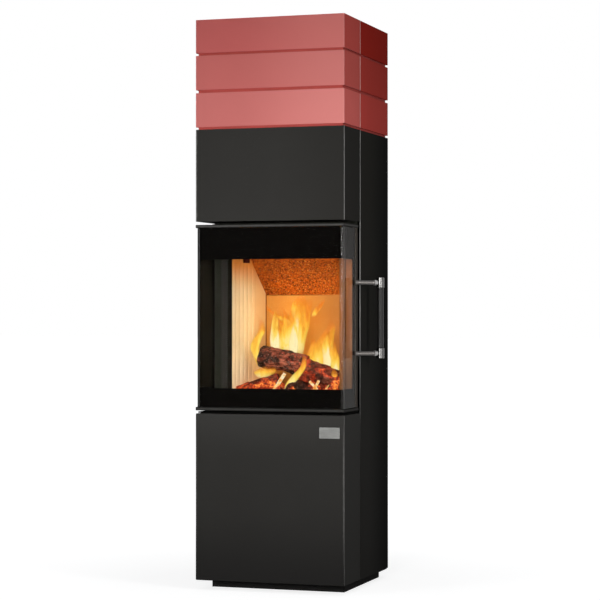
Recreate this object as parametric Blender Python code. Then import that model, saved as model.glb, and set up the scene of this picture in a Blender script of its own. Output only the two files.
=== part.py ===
"""Heat storage stove: a tall steel-cased wood stove with a three-sided glass door and a stack of storage rings.

Metres, +Z up. The origin is on the floor under the middle of the square casing. The front faces -Y, so the
door's handle is at +X. Pieces that only touch keep seat_gap between them.
"""

import math

import bmesh
import bpy
from mathutils import Matrix, Vector

# Fits
seat_gap = 0.0003
pin_gap = 0.0004
swing_gap = 0.0005

# Casing
casing_width = 0.500
casing_depth = 0.500
cover_sheet = 0.003
cover_return = 0.1715
seam_width = 0.003
liner_gap = 0.0005

# Plinth and base
plinth_height = 0.0265
plinth_side_inset = 0.026
plinth_front_inset = 0.084
plinth_rear_inset = 0.021
plinth_sheet = 0.004
base_floor_sheet = 0.0032
liner_sheet = 0.003
shelf_sheet = 0.004
shelf_inset = 0.0065

# Heights of what shows
lower_front_height = 0.535
shelf_clearance = 0.002
door_lift = 0.0035
door_height = 0.596
upper_gap = 0.0105
upper_front_height = 0.2955
ring_heights = (0.1095, 0.110, 0.107)
ring_gaps = (0.008, 0.010, 0.0085)
band_recess = 0.0075
top_plate_drop = 0.0002
top_plate_sheet = 0.004

# Base door
flange_width = 0.022
base_pin_inset = 0.011
base_pin_radius = 0.003
base_pin_length = 0.0095
push_plate_width = 0.067
push_plate_height = 0.035
push_plate_sheet = 0.0015
push_plate_side = 0.015
push_plate_drop = 0.0375

# Fire door
door_overhang = 0.0007
door_depth = 0.1525
door_bottom_sheet = 0.011
door_top_sheet = 0.010
glass_inset = 0.0025
glass_sheet = 0.004
glass_bend = 0.010
stile_depth = 0.021
stile_sheet = 0.005
stile_proud = 0.0
post_width = 0.025
post_depth = 0.0475
door_pin_side = 0.015
door_pin_rear = 0.009
door_pin_radius = 0.004
door_shoulder_radius = 0.007
door_pin_length = 0.010

# Handle
shaft_inset = 0.013
shaft_rear = 0.011
shaft_radius = 0.005
channel_play = 0.0005
arm_angle = math.radians(49.0)
arm_reach = 0.1054
arm_radius = 0.007
arm_ring_radius = 0.0085
arm_ring_length = 0.012
arm_upper_lift = 0.411
arm_lower_lift = 0.183
arm_play = 0.0015
collar_radius = 0.0125
collar_height = 0.033
grip_radius = 0.0105
hook_angle = math.radians(135.0)
hook_reach = 0.017
hook_width = 0.005
hook_height = 0.006
hook_upper_lift = 0.510
hook_lower_lift = 0.084
keeper_width = 0.008
keeper_height = 0.016
keeper_gap = 0.002

# Firebox
frame_gap = 0.011
frame_sheet = 0.003
frame_left_inset = 0.0033
frame_right_inset = 0.007
frame_lap = 0.0145
frame_sill_lift = 0.0282
frame_lintel_drop = 0.0378
seal_width = 0.022
seal_sheet = 0.003
shell_side_inset = 0.030
shell_rear_inset = 0.060
shell_sheet = 0.004
shell_drop = 0.0212
lining_proud = 0.0025
lining_front_sheet = 0.0317
lining_rear_sheet = 0.0657
rear_lining_sheet = 0.0357
lining_smoke_gap = 0.0548
rib_count = 6
rib_pitch = 0.0277
rib_depth = 0.004
rib_start = 0.006
hearth_floor_lift = 0.0482
hearth_plate_lift = 0.0035
hearth_plate_sheet = 0.003
hearth_plate_side = 0.017
hearth_plate_front = 0.0140
hearth_plate_cut = 0.019
baffle_angle = math.radians(46.024)
baffle_sheet = 0.025
baffle_run = 0.1197
baffle_seat = 0.030
baffle_rear_drop = 0.1455
upper_baffle_sheet = 0.020
upper_baffle_lap = 0.040
clip_set = 0.0095
clip_length = 0.035
clip_sheet = 0.006
clip_drop = 0.020
clip_height = 0.030
grate_width = 0.190
grate_depth = 0.150
grate_sheet = 0.013
grate_middle_set = 0.129
grate_slots = 7
grate_slot_width = 0.010
grate_rim = 0.014
ash_pan_width = 0.160
ash_pan_depth = 0.120
ash_pan_height = 0.027
ash_pan_sheet = 0.0015

# Air supply
air_box_width = 0.150
air_box_height = 0.095
air_box_reach = 0.180
air_box_sheet = 0.002
air_slot_height = 0.010
air_spigot_radius = 0.040
air_spigot_sheet = 0.002
air_spigot_length = 0.035
air_travel = 0.030
lever_radius = 0.004
lever_knob_radius = 0.010
lever_knob_length = 0.022
lever_set = 0.0335
damper_radius = 0.020

# Storage and smoke
storage_floor_sheet = 0.004
storage_inset = 0.0155
flue_radius = 0.075
flue_sheet = 0.002
flue_rear_set = 0.200
flue_play = 0.0035
flue_rise = 0.028
bracket_width = 0.017
bracket_sheet = 0.005
bracket_lift = 0.0025

round_steps = 40
small_steps = 20
bend_steps = 5

# Levels and faces that follow from the sizes above
right_x = casing_width / 2
left_x = -right_x
front_y = -casing_depth / 2
rear_y = casing_depth / 2
liner_x = right_x - cover_sheet - liner_gap
liner_rear_y = rear_y - cover_sheet - liner_gap
cover_seam_y = front_y + cover_return
seam_rear_y = cover_seam_y + seam_width
liner_front_y = seam_rear_y + 0.0035

base_floor_z = plinth_height + seat_gap
lower_front_z = base_floor_z + base_floor_sheet + swing_gap
lower_front_top = lower_front_z + lower_front_height
shelf_z = lower_front_top + shelf_clearance
shelf_top = shelf_z + shelf_sheet
door_z = shelf_top + door_lift
door_top = door_z + door_height
upper_front_z = door_top + upper_gap
casing_top = upper_front_z + upper_front_height
shell_z = shelf_top + seat_gap
shell_top = door_top - shell_drop
slab_z = shell_z + shell_sheet + seat_gap
hearth_floor_z = shell_z + hearth_floor_lift
lining_z = hearth_floor_z + seat_gap
lining_top = shell_top - lining_smoke_gap
frame_sill_z = shell_z + frame_sill_lift
frame_lintel_z = shell_top - frame_lintel_drop
storage_floor_z = upper_front_z + 0.0015

door_rear_y = front_y + door_depth
door_pin_x = left_x + door_pin_side
door_pin_y = door_rear_y - door_pin_rear
arm_upper_z = door_z + arm_upper_lift
arm_lower_z = door_z + arm_lower_lift
hook_upper_z = door_z + hook_upper_lift
hook_lower_z = door_z + hook_lower_lift
post_outer_x = right_x - glass_inset + stile_proud
shaft_x = post_outer_x - shaft_inset
shaft_y = door_rear_y - shaft_rear
glass_x = right_x - glass_inset
glass_front_y = front_y + glass_inset
glass_z = door_z + door_bottom_sheet + seat_gap
glass_top = door_top - door_top_sheet - seat_gap
stile_front_y = door_rear_y - stile_depth

frame_front_y = door_rear_y + frame_gap
shell_half_width = right_x - shell_side_inset
shell_rear_y = rear_y - shell_rear_inset
lining_outer_x = shell_half_width - shell_sheet - seat_gap
lining_inner_rear_y = shell_rear_y - shell_sheet - seat_gap
lining_front_y = frame_front_y - lining_proud
lining_front_x = lining_outer_x - lining_front_sheet
lining_rear_x = lining_outer_x - lining_rear_sheet
lining_rear_y = lining_inner_rear_y - rear_lining_sheet - seat_gap
frame_opening = lining_front_x + frame_lap
baffle_rear_z = lining_top - baffle_rear_drop
baffle_front_y = lining_rear_y - baffle_run
baffle_slope = math.tan(baffle_angle)
baffle_front_z = baffle_rear_z + baffle_run * baffle_slope
upper_baffle_front_y = baffle_front_y - upper_baffle_lap
clip_bottom_z = baffle_front_z - clip_drop
grate_middle_y = lining_front_y + grate_middle_set
air_box_front_y = rear_y - air_box_reach
lever_front_y = cover_seam_y + lever_set
flue_y = rear_y - flue_rear_set


def new_material(name, colour, roughness, metallic=0.0, alpha=1.0):
    material = bpy.data.materials.new(name)
    material.use_nodes = True
    shader = material.node_tree.nodes["Principled BSDF"]
    shader.inputs["Base Color"].default_value = (*colour, 1.0)
    shader.inputs["Roughness"].default_value = roughness
    shader.inputs["Metallic"].default_value = metallic
    shader.inputs["Alpha"].default_value = alpha
    material.diffuse_color = (*colour, alpha)
    return material


def new_object(name, bm, material, origin=None, parent=None):
    """Turn a mesh drawn at its place in the stove into an object whose origin is at the given point."""
    bmesh.ops.recalc_face_normals(bm, faces=bm.faces)
    if origin is None:
        corners = [v.co for v in bm.verts]
        low = Vector([min(c[i] for c in corners) for i in range(3)])
        high = Vector([max(c[i] for c in corners) for i in range(3)])
        origin = (low + high) / 2
    origin = Vector(origin)
    bmesh.ops.translate(bm, verts=bm.verts, vec=-origin)
    mesh = bpy.data.meshes.new(name)
    bm.to_mesh(mesh)
    bm.free()
    mesh.shade_smooth()
    mesh.set_sharp_from_angle(angle=math.radians(30))
    mesh.materials.append(material)
    piece = bpy.data.objects.new(name, mesh)
    bpy.context.collection.objects.link(piece)
    if parent is None:
        piece.location = origin
    else:
        piece.parent = parent
        piece.location = origin - parent.location
    return piece


def pivot(name, location):
    empty = bpy.data.objects.new(name, None)
    empty.location = location
    empty.empty_display_size = 0.05
    bpy.context.collection.objects.link(empty)
    return empty


def prism(outline, low, high, axis="Z"):
    """A closed bar: the outline lies across the axis and runs from low to high along it."""
    bm = bmesh.new()
    rings = []
    for level in (low, high):
        if axis == "Z":
            rings.append([bm.verts.new((a, b, level)) for a, b in outline])
        elif axis == "Y":
            rings.append([bm.verts.new((a, level, b)) for a, b in outline])
        else:
            rings.append([bm.verts.new((level, a, b)) for a, b in outline])
    bottom, top = rings
    bm.faces.new(bottom)
    bm.faces.new(reversed(top))
    count = len(outline)
    for i in range(count):
        j = (i + 1) % count
        bm.faces.new((bottom[i], top[i], top[j], bottom[j]))
    return bm


def rectangle(x0, x1, y0, y1):
    return [(x0, y0), (x1, y0), (x1, y1), (x0, y1)]


def block(x0, x1, y0, y1, z0, z1):
    return prism(rectangle(x0, x1, y0, y1), z0, z1)


def stepped_block(steps):
    """A block about the Z axis whose half width and half depth change at each level."""
    bm = bmesh.new()
    rings = []
    for half_x, half_y, z in steps:
        outline = rectangle(-half_x, half_x, -half_y, half_y)
        rings.append([bm.verts.new((x, y, z)) for x, y in outline])
    bm.faces.new(rings[0])
    bm.faces.new(reversed(rings[-1]))
    for lower, upper in zip(rings, rings[1:]):
        for i in range(4):
            j = (i + 1) % 4
            bm.faces.new((lower[i], upper[i], upper[j], lower[j]))
    return bm


def turned(profile, foot, direction, steps, hollow=False):
    """Turn (radius, height) points about the line from foot along direction. A hollow one is a closed ring."""
    bm = bmesh.new()
    turn = Vector((0, 0, 1)).rotation_difference(Vector(direction)).to_matrix().to_4x4()
    place = Matrix.Translation(Vector(foot)) @ turn
    rings = []
    for radius, height in profile:
        ring = []
        for i in range(steps):
            angle = 2 * math.pi * i / steps
            point = Vector((radius * math.cos(angle), radius * math.sin(angle), height))
            ring.append(bm.verts.new(place @ point))
        rings.append(ring)
    pairs = list(zip(rings, rings[1:]))
    if hollow:
        pairs.append((rings[-1], rings[0]))
    else:
        bm.faces.new(rings[0])
        bm.faces.new(reversed(rings[-1]))
    for lower, upper in pairs:
        for i in range(steps):
            j = (i + 1) % steps
            bm.faces.new((lower[i], upper[i], upper[j], lower[j]))
    return bm


def cut(piece, *cutters):
    for i, bm in enumerate(cutters):
        cutter = new_object(f"{piece.name}_cutter_{i + 1}", bm, cutter_material)
        cutter.hide_render = True
        cutter.display_type = "WIRE"
        modifier = piece.modifiers.new(f"cut {i + 1}", "BOOLEAN")
        modifier.operation = "DIFFERENCE"
        modifier.solver = "EXACT"
        modifier.object = cutter


def front_cover(sheet):
    """Outline of the sheet folded round the front: both returns end at the seam."""
    outer = [(left_x, cover_seam_y), (left_x, front_y), (right_x, front_y), (right_x, cover_seam_y)]
    inner = [
        (right_x - sheet, cover_seam_y),
        (right_x - sheet, front_y + sheet),
        (left_x + sheet, front_y + sheet),
        (left_x + sheet, cover_seam_y),
    ]
    return outer + inner


def rear_cover(sheet):
    outer = [(right_x, seam_rear_y), (right_x, rear_y), (left_x, rear_y), (left_x, seam_rear_y)]
    inner = [
        (left_x + sheet, seam_rear_y),
        (left_x + sheet, rear_y - sheet),
        (right_x - sheet, rear_y - sheet),
        (right_x - sheet, seam_rear_y),
    ]
    return outer + inner


def lining_x(y):
    """Half width between the side linings at a depth: the firebox narrows towards the rear."""
    share = (y - lining_front_y) / (lining_rear_y - lining_front_y)
    return lining_front_x + (lining_rear_x - lining_front_x) * share


def bend(centre, radius, start, end):
    points = []
    for i in range(bend_steps + 1):
        angle = math.radians(start + (end - start) * i / bend_steps)
        points.append((centre[0] + radius * math.cos(angle), centre[1] + radius * math.sin(angle)))
    return points


for leftover in list(bpy.data.objects):
    bpy.data.objects.remove(leftover, do_unlink=True)

black_paint = new_material("black paint", (0.035, 0.034, 0.032), 0.45)
red_paint = new_material("red paint", (0.44, 0.11, 0.10), 0.5)
raw_steel = new_material("dark steel", (0.05, 0.05, 0.05), 0.55, 0.6)
brushed_steel = new_material("brushed steel", (0.30, 0.30, 0.29), 0.35, 1.0)
bright_steel = new_material("polished steel", (0.75, 0.75, 0.75), 0.15, 1.0)
grip_coat = new_material("black grip", (0.02, 0.02, 0.02), 0.35)
ceramic_glass = new_material("ceramic glass", (0.05, 0.04, 0.03), 0.05, 0.0, 0.3)
pale_stone = new_material("firebox stone", (0.75, 0.58, 0.38), 0.9)
baffle_stone = new_material("baffle board", (0.55, 0.30, 0.12), 0.9)
storage_stone = new_material("storage stone", (0.30, 0.29, 0.28), 0.9)
ring_stone = new_material("red storage stone", (0.35, 0.08, 0.07), 0.85)
grate_iron = new_material("cast iron", (0.06, 0.06, 0.06), 0.7, 0.4)
seal_rope = new_material("seal cord", (0.10, 0.10, 0.10), 0.95)
cutter_material = new_material("cutter", (0.8, 0.2, 0.2), 1.0)

base_hinge = pivot("base_door_axis", (left_x + base_pin_inset, cover_seam_y - base_pin_inset, 0))
door_hinge = pivot("fire_door_axis", (door_pin_x, door_pin_y, 0))
handle_axis = pivot("handle_axis", (shaft_x, shaft_y, 0))
air_axis = pivot("air_lever_axis", (0, 0, 0))

# Plinth: an open steel tray that stands on the floor, set back under the casing
plinth_x = right_x - plinth_side_inset
plinth_y0 = front_y + plinth_front_inset
plinth_y1 = rear_y - plinth_rear_inset
plinth = new_object(
    "plinth", block(-plinth_x, plinth_x, plinth_y0, plinth_y1, 0, plinth_height), black_paint
)
cut(
    plinth,
    block(
        -plinth_x + plinth_sheet,
        plinth_x - plinth_sheet,
        plinth_y0 + plinth_sheet,
        plinth_y1 - plinth_sheet,
        plinth_sheet,
        plinth_height + 0.01,
    ),
)

# Base floor: lies on the plinth, full width behind the seam, with an ear on the left for the lower hinge pin
ear_y0 = base_hinge.location.y - base_pin_inset
new_object(
    "base_floor",
    prism(
        [
            (-plinth_x, plinth_y0),
            (plinth_x, plinth_y0),
            (plinth_x, seam_rear_y),
            (liner_x, seam_rear_y),
            (liner_x, liner_rear_y),
            (-liner_x, liner_rear_y),
            (-liner_x, ear_y0),
            (-plinth_x, ear_y0),
        ],
        base_floor_z,
        base_floor_z + base_floor_sheet,
    ),
    black_paint,
)

# Base cabinet: left, rear and right walls of the base compartment
cabinet_z = base_floor_z + base_floor_sheet + seat_gap
cabinet = new_object(
    "base_cabinet",
    prism(
        [
            (liner_x, liner_front_y),
            (liner_x, liner_rear_y),
            (-liner_x, liner_rear_y),
            (-liner_x, liner_front_y),
            (-liner_x + liner_sheet, liner_front_y),
            (-liner_x + liner_sheet, liner_rear_y - liner_sheet),
            (liner_x - liner_sheet, liner_rear_y - liner_sheet),
            (liner_x - liner_sheet, liner_front_y),
        ],
        cabinet_z,
        shelf_z - seat_gap,
    ),
    black_paint,
)

# Shelf that carries the firebox and the fire door's lower pin
shelf_x = right_x - shelf_inset
new_object(
    "hearth_shelf",
    block(-shelf_x, shelf_x, front_y + shelf_inset, liner_rear_y, shelf_z, shelf_top),
    black_paint,
)

# Air box under the shelf, open to the rear, with a slot for the air lever
air_box_z1 = shelf_z - seat_gap
air_box_z0 = air_box_z1 - air_box_height
air_z = (air_box_z0 + air_box_z1) / 2
air_box_rear_y = liner_rear_y - liner_sheet - seat_gap
air_box = new_object(
    "air_box",
    block(
        -air_box_width / 2, air_box_width / 2, air_box_front_y, air_box_rear_y, air_box_z0, air_box_z1
    ),
    raw_steel,
)
slot_half = air_travel + lever_radius + 0.002
cut(
    air_box,
    block(
        -air_box_width / 2 + air_box_sheet,
        air_box_width / 2 - air_box_sheet,
        air_box_front_y + air_box_sheet,
        air_box_rear_y + 0.01,
        air_box_z0 + air_box_sheet,
        air_box_z1 - air_box_sheet,
    ),
    block(
        -slot_half,
        slot_half,
        air_box_front_y - 0.01,
        air_box_front_y + air_box_sheet + 0.01,
        air_z - air_slot_height / 2,
        air_z + air_slot_height / 2,
    ),
)

# Air lever: a rod through the slot with a round damper inside and a knob in the compartment
damper_y = air_box_front_y + air_box_sheet + seat_gap
lever_length = damper_y - lever_front_y
new_object(
    "air_lever",
    turned(
        [
            (damper_radius, -0.002),
            (damper_radius, 0),
            (lever_radius, 0),
            (lever_radius, lever_length - lever_knob_length),
            (lever_knob_radius, lever_length - lever_knob_length),
            (lever_knob_radius, lever_length),
        ],
        (0, damper_y, air_z),
        (0, -1, 0),
        small_steps,
    ),
    brushed_steel,
    origin=(0, damper_y, air_z),
    parent=air_axis,
)

# Outer casing: side panels behind the seam, rear panel and fresh air spigot
panel_z = base_floor_z + base_floor_sheet + seat_gap
for name, x0 in (("side_panel_left", left_x), ("side_panel_right", right_x - cover_sheet)):
    new_object(
        name, block(x0, x0 + cover_sheet, seam_rear_y, rear_y, panel_z, casing_top), black_paint
    )
rear_panel = new_object(
    "rear_panel",
    block(-liner_x, liner_x, rear_y - cover_sheet, rear_y, panel_z, casing_top),
    black_paint,
)
air_bore = air_spigot_radius - air_spigot_sheet
cut(rear_panel, turned([(air_bore, 0), (air_bore, 0.03)], (0, rear_y - 0.015, air_z), (0, 1, 0), round_steps))
cut(cabinet, turned([(air_bore, 0), (air_bore, 0.03)], (0, liner_rear_y - 0.015, air_z), (0, 1, 0), round_steps))
new_object(
    "air_spigot",
    turned(
        [
            (air_bore, 0),
            (air_spigot_radius + 0.012, 0),
            (air_spigot_radius + 0.012, 0.002),
            (air_spigot_radius, 0.002),
            (air_spigot_radius, air_spigot_length),
            (air_bore, air_spigot_length),
        ],
        (0, rear_y + seat_gap, air_z),
        (0, 1, 0),
        round_steps,
        hollow=True,
    ),
    raw_steel,
)

# Base door: a folded cover with a flange along its top and bottom that turns on two pins
base_door = new_object(
    "base_door",
    block(left_x, right_x, front_y, cover_seam_y, lower_front_z, lower_front_top),
    black_paint,
    origin=(base_hinge.location.x, base_hinge.location.y, lower_front_z),
    parent=base_hinge,
)
flange_x = right_x - flange_width
cut(
    base_door,
    block(
        left_x + cover_sheet,
        right_x - cover_sheet,
        front_y + cover_sheet,
        cover_seam_y + 0.01,
        lower_front_z + cover_sheet,
        lower_front_top - cover_sheet,
    ),
    block(
        -flange_x,
        flange_x,
        front_y + flange_width,
        cover_seam_y + 0.02,
        lower_front_z - 0.01,
        lower_front_top + 0.01,
    ),
    turned(
        [(base_pin_radius + pin_gap, 0), (base_pin_radius + pin_gap, lower_front_height + 0.02)],
        (base_hinge.location.x, base_hinge.location.y, lower_front_z - 0.01),
        (0, 0, 1),
        small_steps,
    ),
)
new_object(
    "base_door_lower_pin",
    turned(
        [(base_pin_radius, 0), (base_pin_radius, base_pin_length)],
        (base_hinge.location.x, base_hinge.location.y, base_floor_z + base_floor_sheet + seat_gap),
        (0, 0, 1),
        small_steps,
    ),
    bright_steel,
)
new_object(
    "base_door_upper_pin",
    turned(
        [(base_pin_radius, 0), (base_pin_radius, base_pin_length)],
        (base_hinge.location.x, base_hinge.location.y, shelf_z - seat_gap - base_pin_length),
        (0, 0, 1),
        small_steps,
    ),
    bright_steel,
)
plate_x1 = right_x - push_plate_side
plate_z1 = lower_front_top - push_plate_drop
new_object(
    "push_plate",
    block(
        plate_x1 - push_plate_width,
        plate_x1,
        front_y - seat_gap - push_plate_sheet,
        front_y - seat_gap,
        plate_z1 - push_plate_height,
        plate_z1,
    ),
    brushed_steel,
    parent=base_hinge,
)

# Firebox: face frame with its seal, welded shell, floor plate in the bay behind the glass
frame_y1 = frame_front_y + frame_sheet
face_frame = new_object(
    "face_frame",
    block(
        left_x + frame_left_inset,
        right_x - frame_right_inset,
        frame_front_y,
        frame_y1,
        shell_z,
        storage_floor_z - seat_gap,
    ),
    raw_steel,
)
cut(
    face_frame,
    block(
        -frame_opening,
        frame_opening,
        frame_front_y - 0.01,
        frame_y1 + 0.01,
        frame_sill_z,
        frame_lintel_z,
    ),
)
seal_inner = frame_opening + 0.001
door_seal = new_object(
    "door_seal",
    block(
        -seal_inner - seal_width,
        seal_inner + seal_width,
        frame_front_y - seat_gap - seal_sheet,
        frame_front_y - seat_gap,
        frame_sill_z - 0.006,
        frame_lintel_z + seal_width,
    ),
    seal_rope,
)
cut(
    door_seal,
    block(
        -seal_inner,
        seal_inner,
        frame_front_y - 0.02,
        frame_front_y + 0.01,
        frame_sill_z - 0.0005,
        frame_lintel_z + 0.0005,
    ),
)
shell = new_object(
    "firebox_shell",
    block(
        -shell_half_width, shell_half_width, frame_y1 + seat_gap, shell_rear_y, shell_z, shell_top
    ),
    raw_steel,
)
cut(
    shell,
    block(
        -shell_half_width + shell_sheet,
        shell_half_width - shell_sheet,
        frame_y1 - 0.01,
        shell_rear_y - shell_sheet,
        shell_z + shell_sheet,
        shell_top - shell_sheet,
    ),
    turned(
        [(flue_radius - flue_sheet, 0), (flue_radius - flue_sheet, 0.03)],
        (0, flue_y, shell_top - 0.015),
        (0, 0, 1),
        round_steps,
    ),
)
plate_front_y = front_y + hearth_plate_front
plate_left_x = door_pin_x + hearth_plate_side
plate_right_x = right_x - post_width - 0.0075
hearth_plate_z = door_z + door_bottom_sheet + hearth_plate_lift
new_object(
    "hearth_plate",
    prism(
        [
            (plate_left_x, frame_front_y - seat_gap),
            (plate_left_x, plate_front_y),
            (plate_right_x - hearth_plate_cut, plate_front_y),
            (plate_right_x, door_rear_y - post_depth),
            (plate_right_x, frame_front_y - seat_gap),
        ],
        hearth_plate_z,
        hearth_plate_z + hearth_plate_sheet,
    ),
    raw_steel,
)

# Hearth slab with the pocket for grate and ash pan
slab_front_y = frame_y1 + seat_gap
grate_y0 = grate_middle_y - grate_depth / 2
grate_y1 = grate_middle_y + grate_depth / 2
pan_y0 = grate_middle_y - ash_pan_depth / 2
pan_y1 = grate_middle_y + ash_pan_depth / 2
grate_z = hearth_floor_z - grate_sheet
hearth_slab = new_object(
    "hearth_slab",
    block(-lining_outer_x, lining_outer_x, slab_front_y, lining_inner_rear_y, slab_z, hearth_floor_z),
    pale_stone,
)
cut(
    hearth_slab,
    block(
        -grate_width / 2 - seat_gap,
        grate_width / 2 + seat_gap,
        grate_y0 - seat_gap,
        grate_y1 + seat_gap,
        grate_z - seat_gap,
        hearth_floor_z + 0.01,
    ),
    block(
        -ash_pan_width / 2 - 0.001,
        ash_pan_width / 2 + 0.001,
        pan_y0 - 0.001,
        pan_y1 + 0.001,
        slab_z - 0.01,
        hearth_floor_z + 0.01,
    ),
)
grate = new_object(
    "grate",
    block(-grate_width / 2, grate_width / 2, grate_y0, grate_y1, grate_z, hearth_floor_z),
    grate_iron,
)
slot_pitch = (grate_width - 2 * grate_rim) / grate_slots
slots = []
for i in range(grate_slots):
    slot_x = -grate_width / 2 + grate_rim + (i + 0.5) * slot_pitch
    slots.append(
        block(
            slot_x - grate_slot_width / 2,
            slot_x + grate_slot_width / 2,
            grate_y0 + grate_rim,
            grate_y1 - grate_rim,
            grate_z - 0.01,
            hearth_floor_z + 0.01,
        )
    )
cut(grate, *slots)
ash_pan = new_object(
    "ash_pan",
    block(
        -ash_pan_width / 2, ash_pan_width / 2, pan_y0, pan_y1, slab_z, slab_z + ash_pan_height
    ),
    raw_steel,
)
cut(
    ash_pan,
    block(
        -ash_pan_width / 2 + ash_pan_sheet,
        ash_pan_width / 2 - ash_pan_sheet,
        pan_y0 + ash_pan_sheet,
        pan_y1 - ash_pan_sheet,
        slab_z + ash_pan_sheet,
        slab_z + ash_pan_height + 0.01,
    ),
)


def side_lining(side):
    """Outline of a side lining: half-round ribs stand between grooves on the front part of its inner face."""
    run = Vector((lining_rear_x - lining_front_x, lining_rear_y - lining_front_y))
    along = run.normalized()
    inward = Vector((-along.y, along.x))
    face = [(lining_front_x, lining_front_y)]
    for rib in range(rib_count):
        for step in range(5):
            angle = math.pi * step / 4
            distance = rib_start + rib_pitch * (rib + (1 - math.cos(angle)) / 2)
            depth = rib_depth * (1 - math.sin(angle))
            if step == 4 and rib < rib_count - 1:
                continue
            point = Vector((lining_front_x, lining_front_y)) + along * distance - inward * depth
            face.append((point.x, point.y))
    face.append((lining_rear_x, lining_rear_y))
    back = [
        (lining_outer_x, lining_rear_y),
        (lining_outer_x, slab_front_y),
        (frame_opening - 0.0005, slab_front_y),
        (frame_opening - 0.0005, lining_front_y),
    ]
    return [(side * x, y) for x, y in face + back]


for name, side in (("side_lining_left", -1), ("side_lining_right", 1)):
    new_object(name, prism(side_lining(side), lining_z, lining_top), pale_stone)
new_object(
    "rear_lining",
    block(
        -lining_outer_x,
        lining_outer_x,
        lining_rear_y + seat_gap,
        lining_inner_rear_y,
        lining_z,
        baffle_rear_z - seat_gap,
    ),
    pale_stone,
)

# Slanted baffle between the side linings, with its foot on the rear lining
baffle_rise = baffle_sheet * math.hypot(1, baffle_slope)
baffle_seat_y = lining_rear_y + baffle_seat
baffle_top_z = lining_top - 0.001
baffle_back_z = baffle_rear_z - baffle_seat * baffle_slope + baffle_rise
baffle_top_y = baffle_seat_y - (baffle_top_z - baffle_back_z) / baffle_slope
baffle = bmesh.new()
baffle_side = [
    (baffle_front_y, baffle_front_z),
    (lining_rear_y, baffle_rear_z),
    (baffle_seat_y, baffle_rear_z),
    (baffle_seat_y, baffle_back_z),
    (baffle_top_y, baffle_top_z),
    (baffle_front_y, baffle_top_z),
]
baffle_ends = []
for side in (-1, 1):
    baffle_ends.append(
        [baffle.verts.new((side * (lining_x(y) - 2 * seat_gap), y, z)) for y, z in baffle_side]
    )
baffle.faces.new(baffle_ends[0])
baffle.faces.new(reversed(baffle_ends[1]))
for i in range(len(baffle_side)):
    j = (i + 1) % len(baffle_side)
    baffle.faces.new((baffle_ends[0][i], baffle_ends[1][i], baffle_ends[1][j], baffle_ends[0][j]))
new_object("lower_baffle", baffle, baffle_stone)
new_object(
    "upper_baffle",
    block(
        -lining_outer_x,
        lining_outer_x,
        upper_baffle_front_y,
        lining_inner_rear_y,
        lining_top + seat_gap,
        lining_top + seat_gap + upper_baffle_sheet,
    ),
    baffle_stone,
)

# Clip on the left lining that stops the slanted baffle from sliding forward
clip_y1 = baffle_front_y - clip_set
clip_y0 = clip_y1 - clip_length
new_object(
    "baffle_clip",
    prism(
        [
            (-lining_x(clip_y0) + seat_gap, clip_y0),
            (-lining_x(clip_y0) + seat_gap + clip_sheet, clip_y0),
            (-lining_x(clip_y1) + seat_gap + clip_sheet, clip_y1),
            (-lining_x(clip_y1) + seat_gap, clip_y1),
        ],
        clip_bottom_z,
        clip_bottom_z + clip_height,
    ),
    raw_steel,
)

# Fire door: top and bottom plate, bent glass, hinge stile on the left and latch post on the right
overhang_x = right_x + door_overhang
overhang_y = front_y - door_overhang
pin_bore = door_pin_radius + pin_gap
for name, z0, z1 in (
    ("door_bottom_plate", door_z, door_z + door_bottom_sheet),
    ("door_top_plate", door_top - door_top_sheet, door_top),
):
    plate = new_object(
        name,
        block(-overhang_x, overhang_x, overhang_y, door_rear_y, z0, z1),
        black_paint,
        origin=(door_pin_x, door_pin_y, z0),
        parent=door_hinge,
    )
    cut(
        plate,
        turned(
            [(pin_bore, 0), (pin_bore, z1 - z0 + 0.02)],
            (door_pin_x, door_pin_y, z0 - 0.01),
            (0, 0, 1),
            small_steps,
        ),
    )
glass_rear_y = stile_front_y - 0.0005
glass_inner = glass_bend - glass_sheet
left_bend = (-glass_x + glass_bend, glass_front_y + glass_bend)
right_bend = (glass_x - glass_bend, glass_front_y + glass_bend)
glass_outline = [(-glass_x, glass_rear_y)]
glass_outline += bend(left_bend, glass_bend, 180, 270)
glass_outline += bend(right_bend, glass_bend, 270, 360)
glass_outline += [(glass_x, glass_rear_y), (glass_x - glass_sheet, glass_rear_y)]
glass_outline += bend(right_bend, glass_inner, 360, 270)
glass_outline += bend(left_bend, glass_inner, 270, 180)
glass_outline += [(-glass_x + glass_sheet, glass_rear_y)]
new_object(
    "door_glass",
    prism(glass_outline, glass_z, glass_top),
    ceramic_glass,
    origin=(door_pin_x, door_pin_y, glass_z),
    parent=door_hinge,
)
new_object(
    "hinge_stile",
    block(
        -post_outer_x, -post_outer_x + stile_sheet, stile_front_y, door_rear_y, glass_z, glass_top
    ),
    black_paint,
    origin=(door_pin_x, door_pin_y, glass_z),
    parent=door_hinge,
)
post_inner_x = post_outer_x - post_width
post_front_y = door_rear_y - post_depth
channel_half = shaft_radius + channel_play
post_lip_x = glass_x - glass_sheet - 0.0005
latch_post = new_object(
    "latch_post",
    prism(
        [
            (post_inner_x, post_front_y),
            (post_lip_x, post_front_y),
            (post_lip_x, stile_front_y),
            (post_outer_x, stile_front_y),
            (post_outer_x, door_rear_y),
            (shaft_x + channel_half, door_rear_y),
            (shaft_x + channel_half, shaft_y - channel_half),
            (shaft_x - channel_half, shaft_y - channel_half),
            (shaft_x - channel_half, door_rear_y),
            (post_inner_x, door_rear_y),
        ],
        glass_z,
        glass_top,
    ),
    black_paint,
    origin=(door_pin_x, door_pin_y, glass_z),
    parent=door_hinge,
)
arm_half = arm_radius + arm_play
hook_half = hook_height / 2 + arm_play
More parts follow.
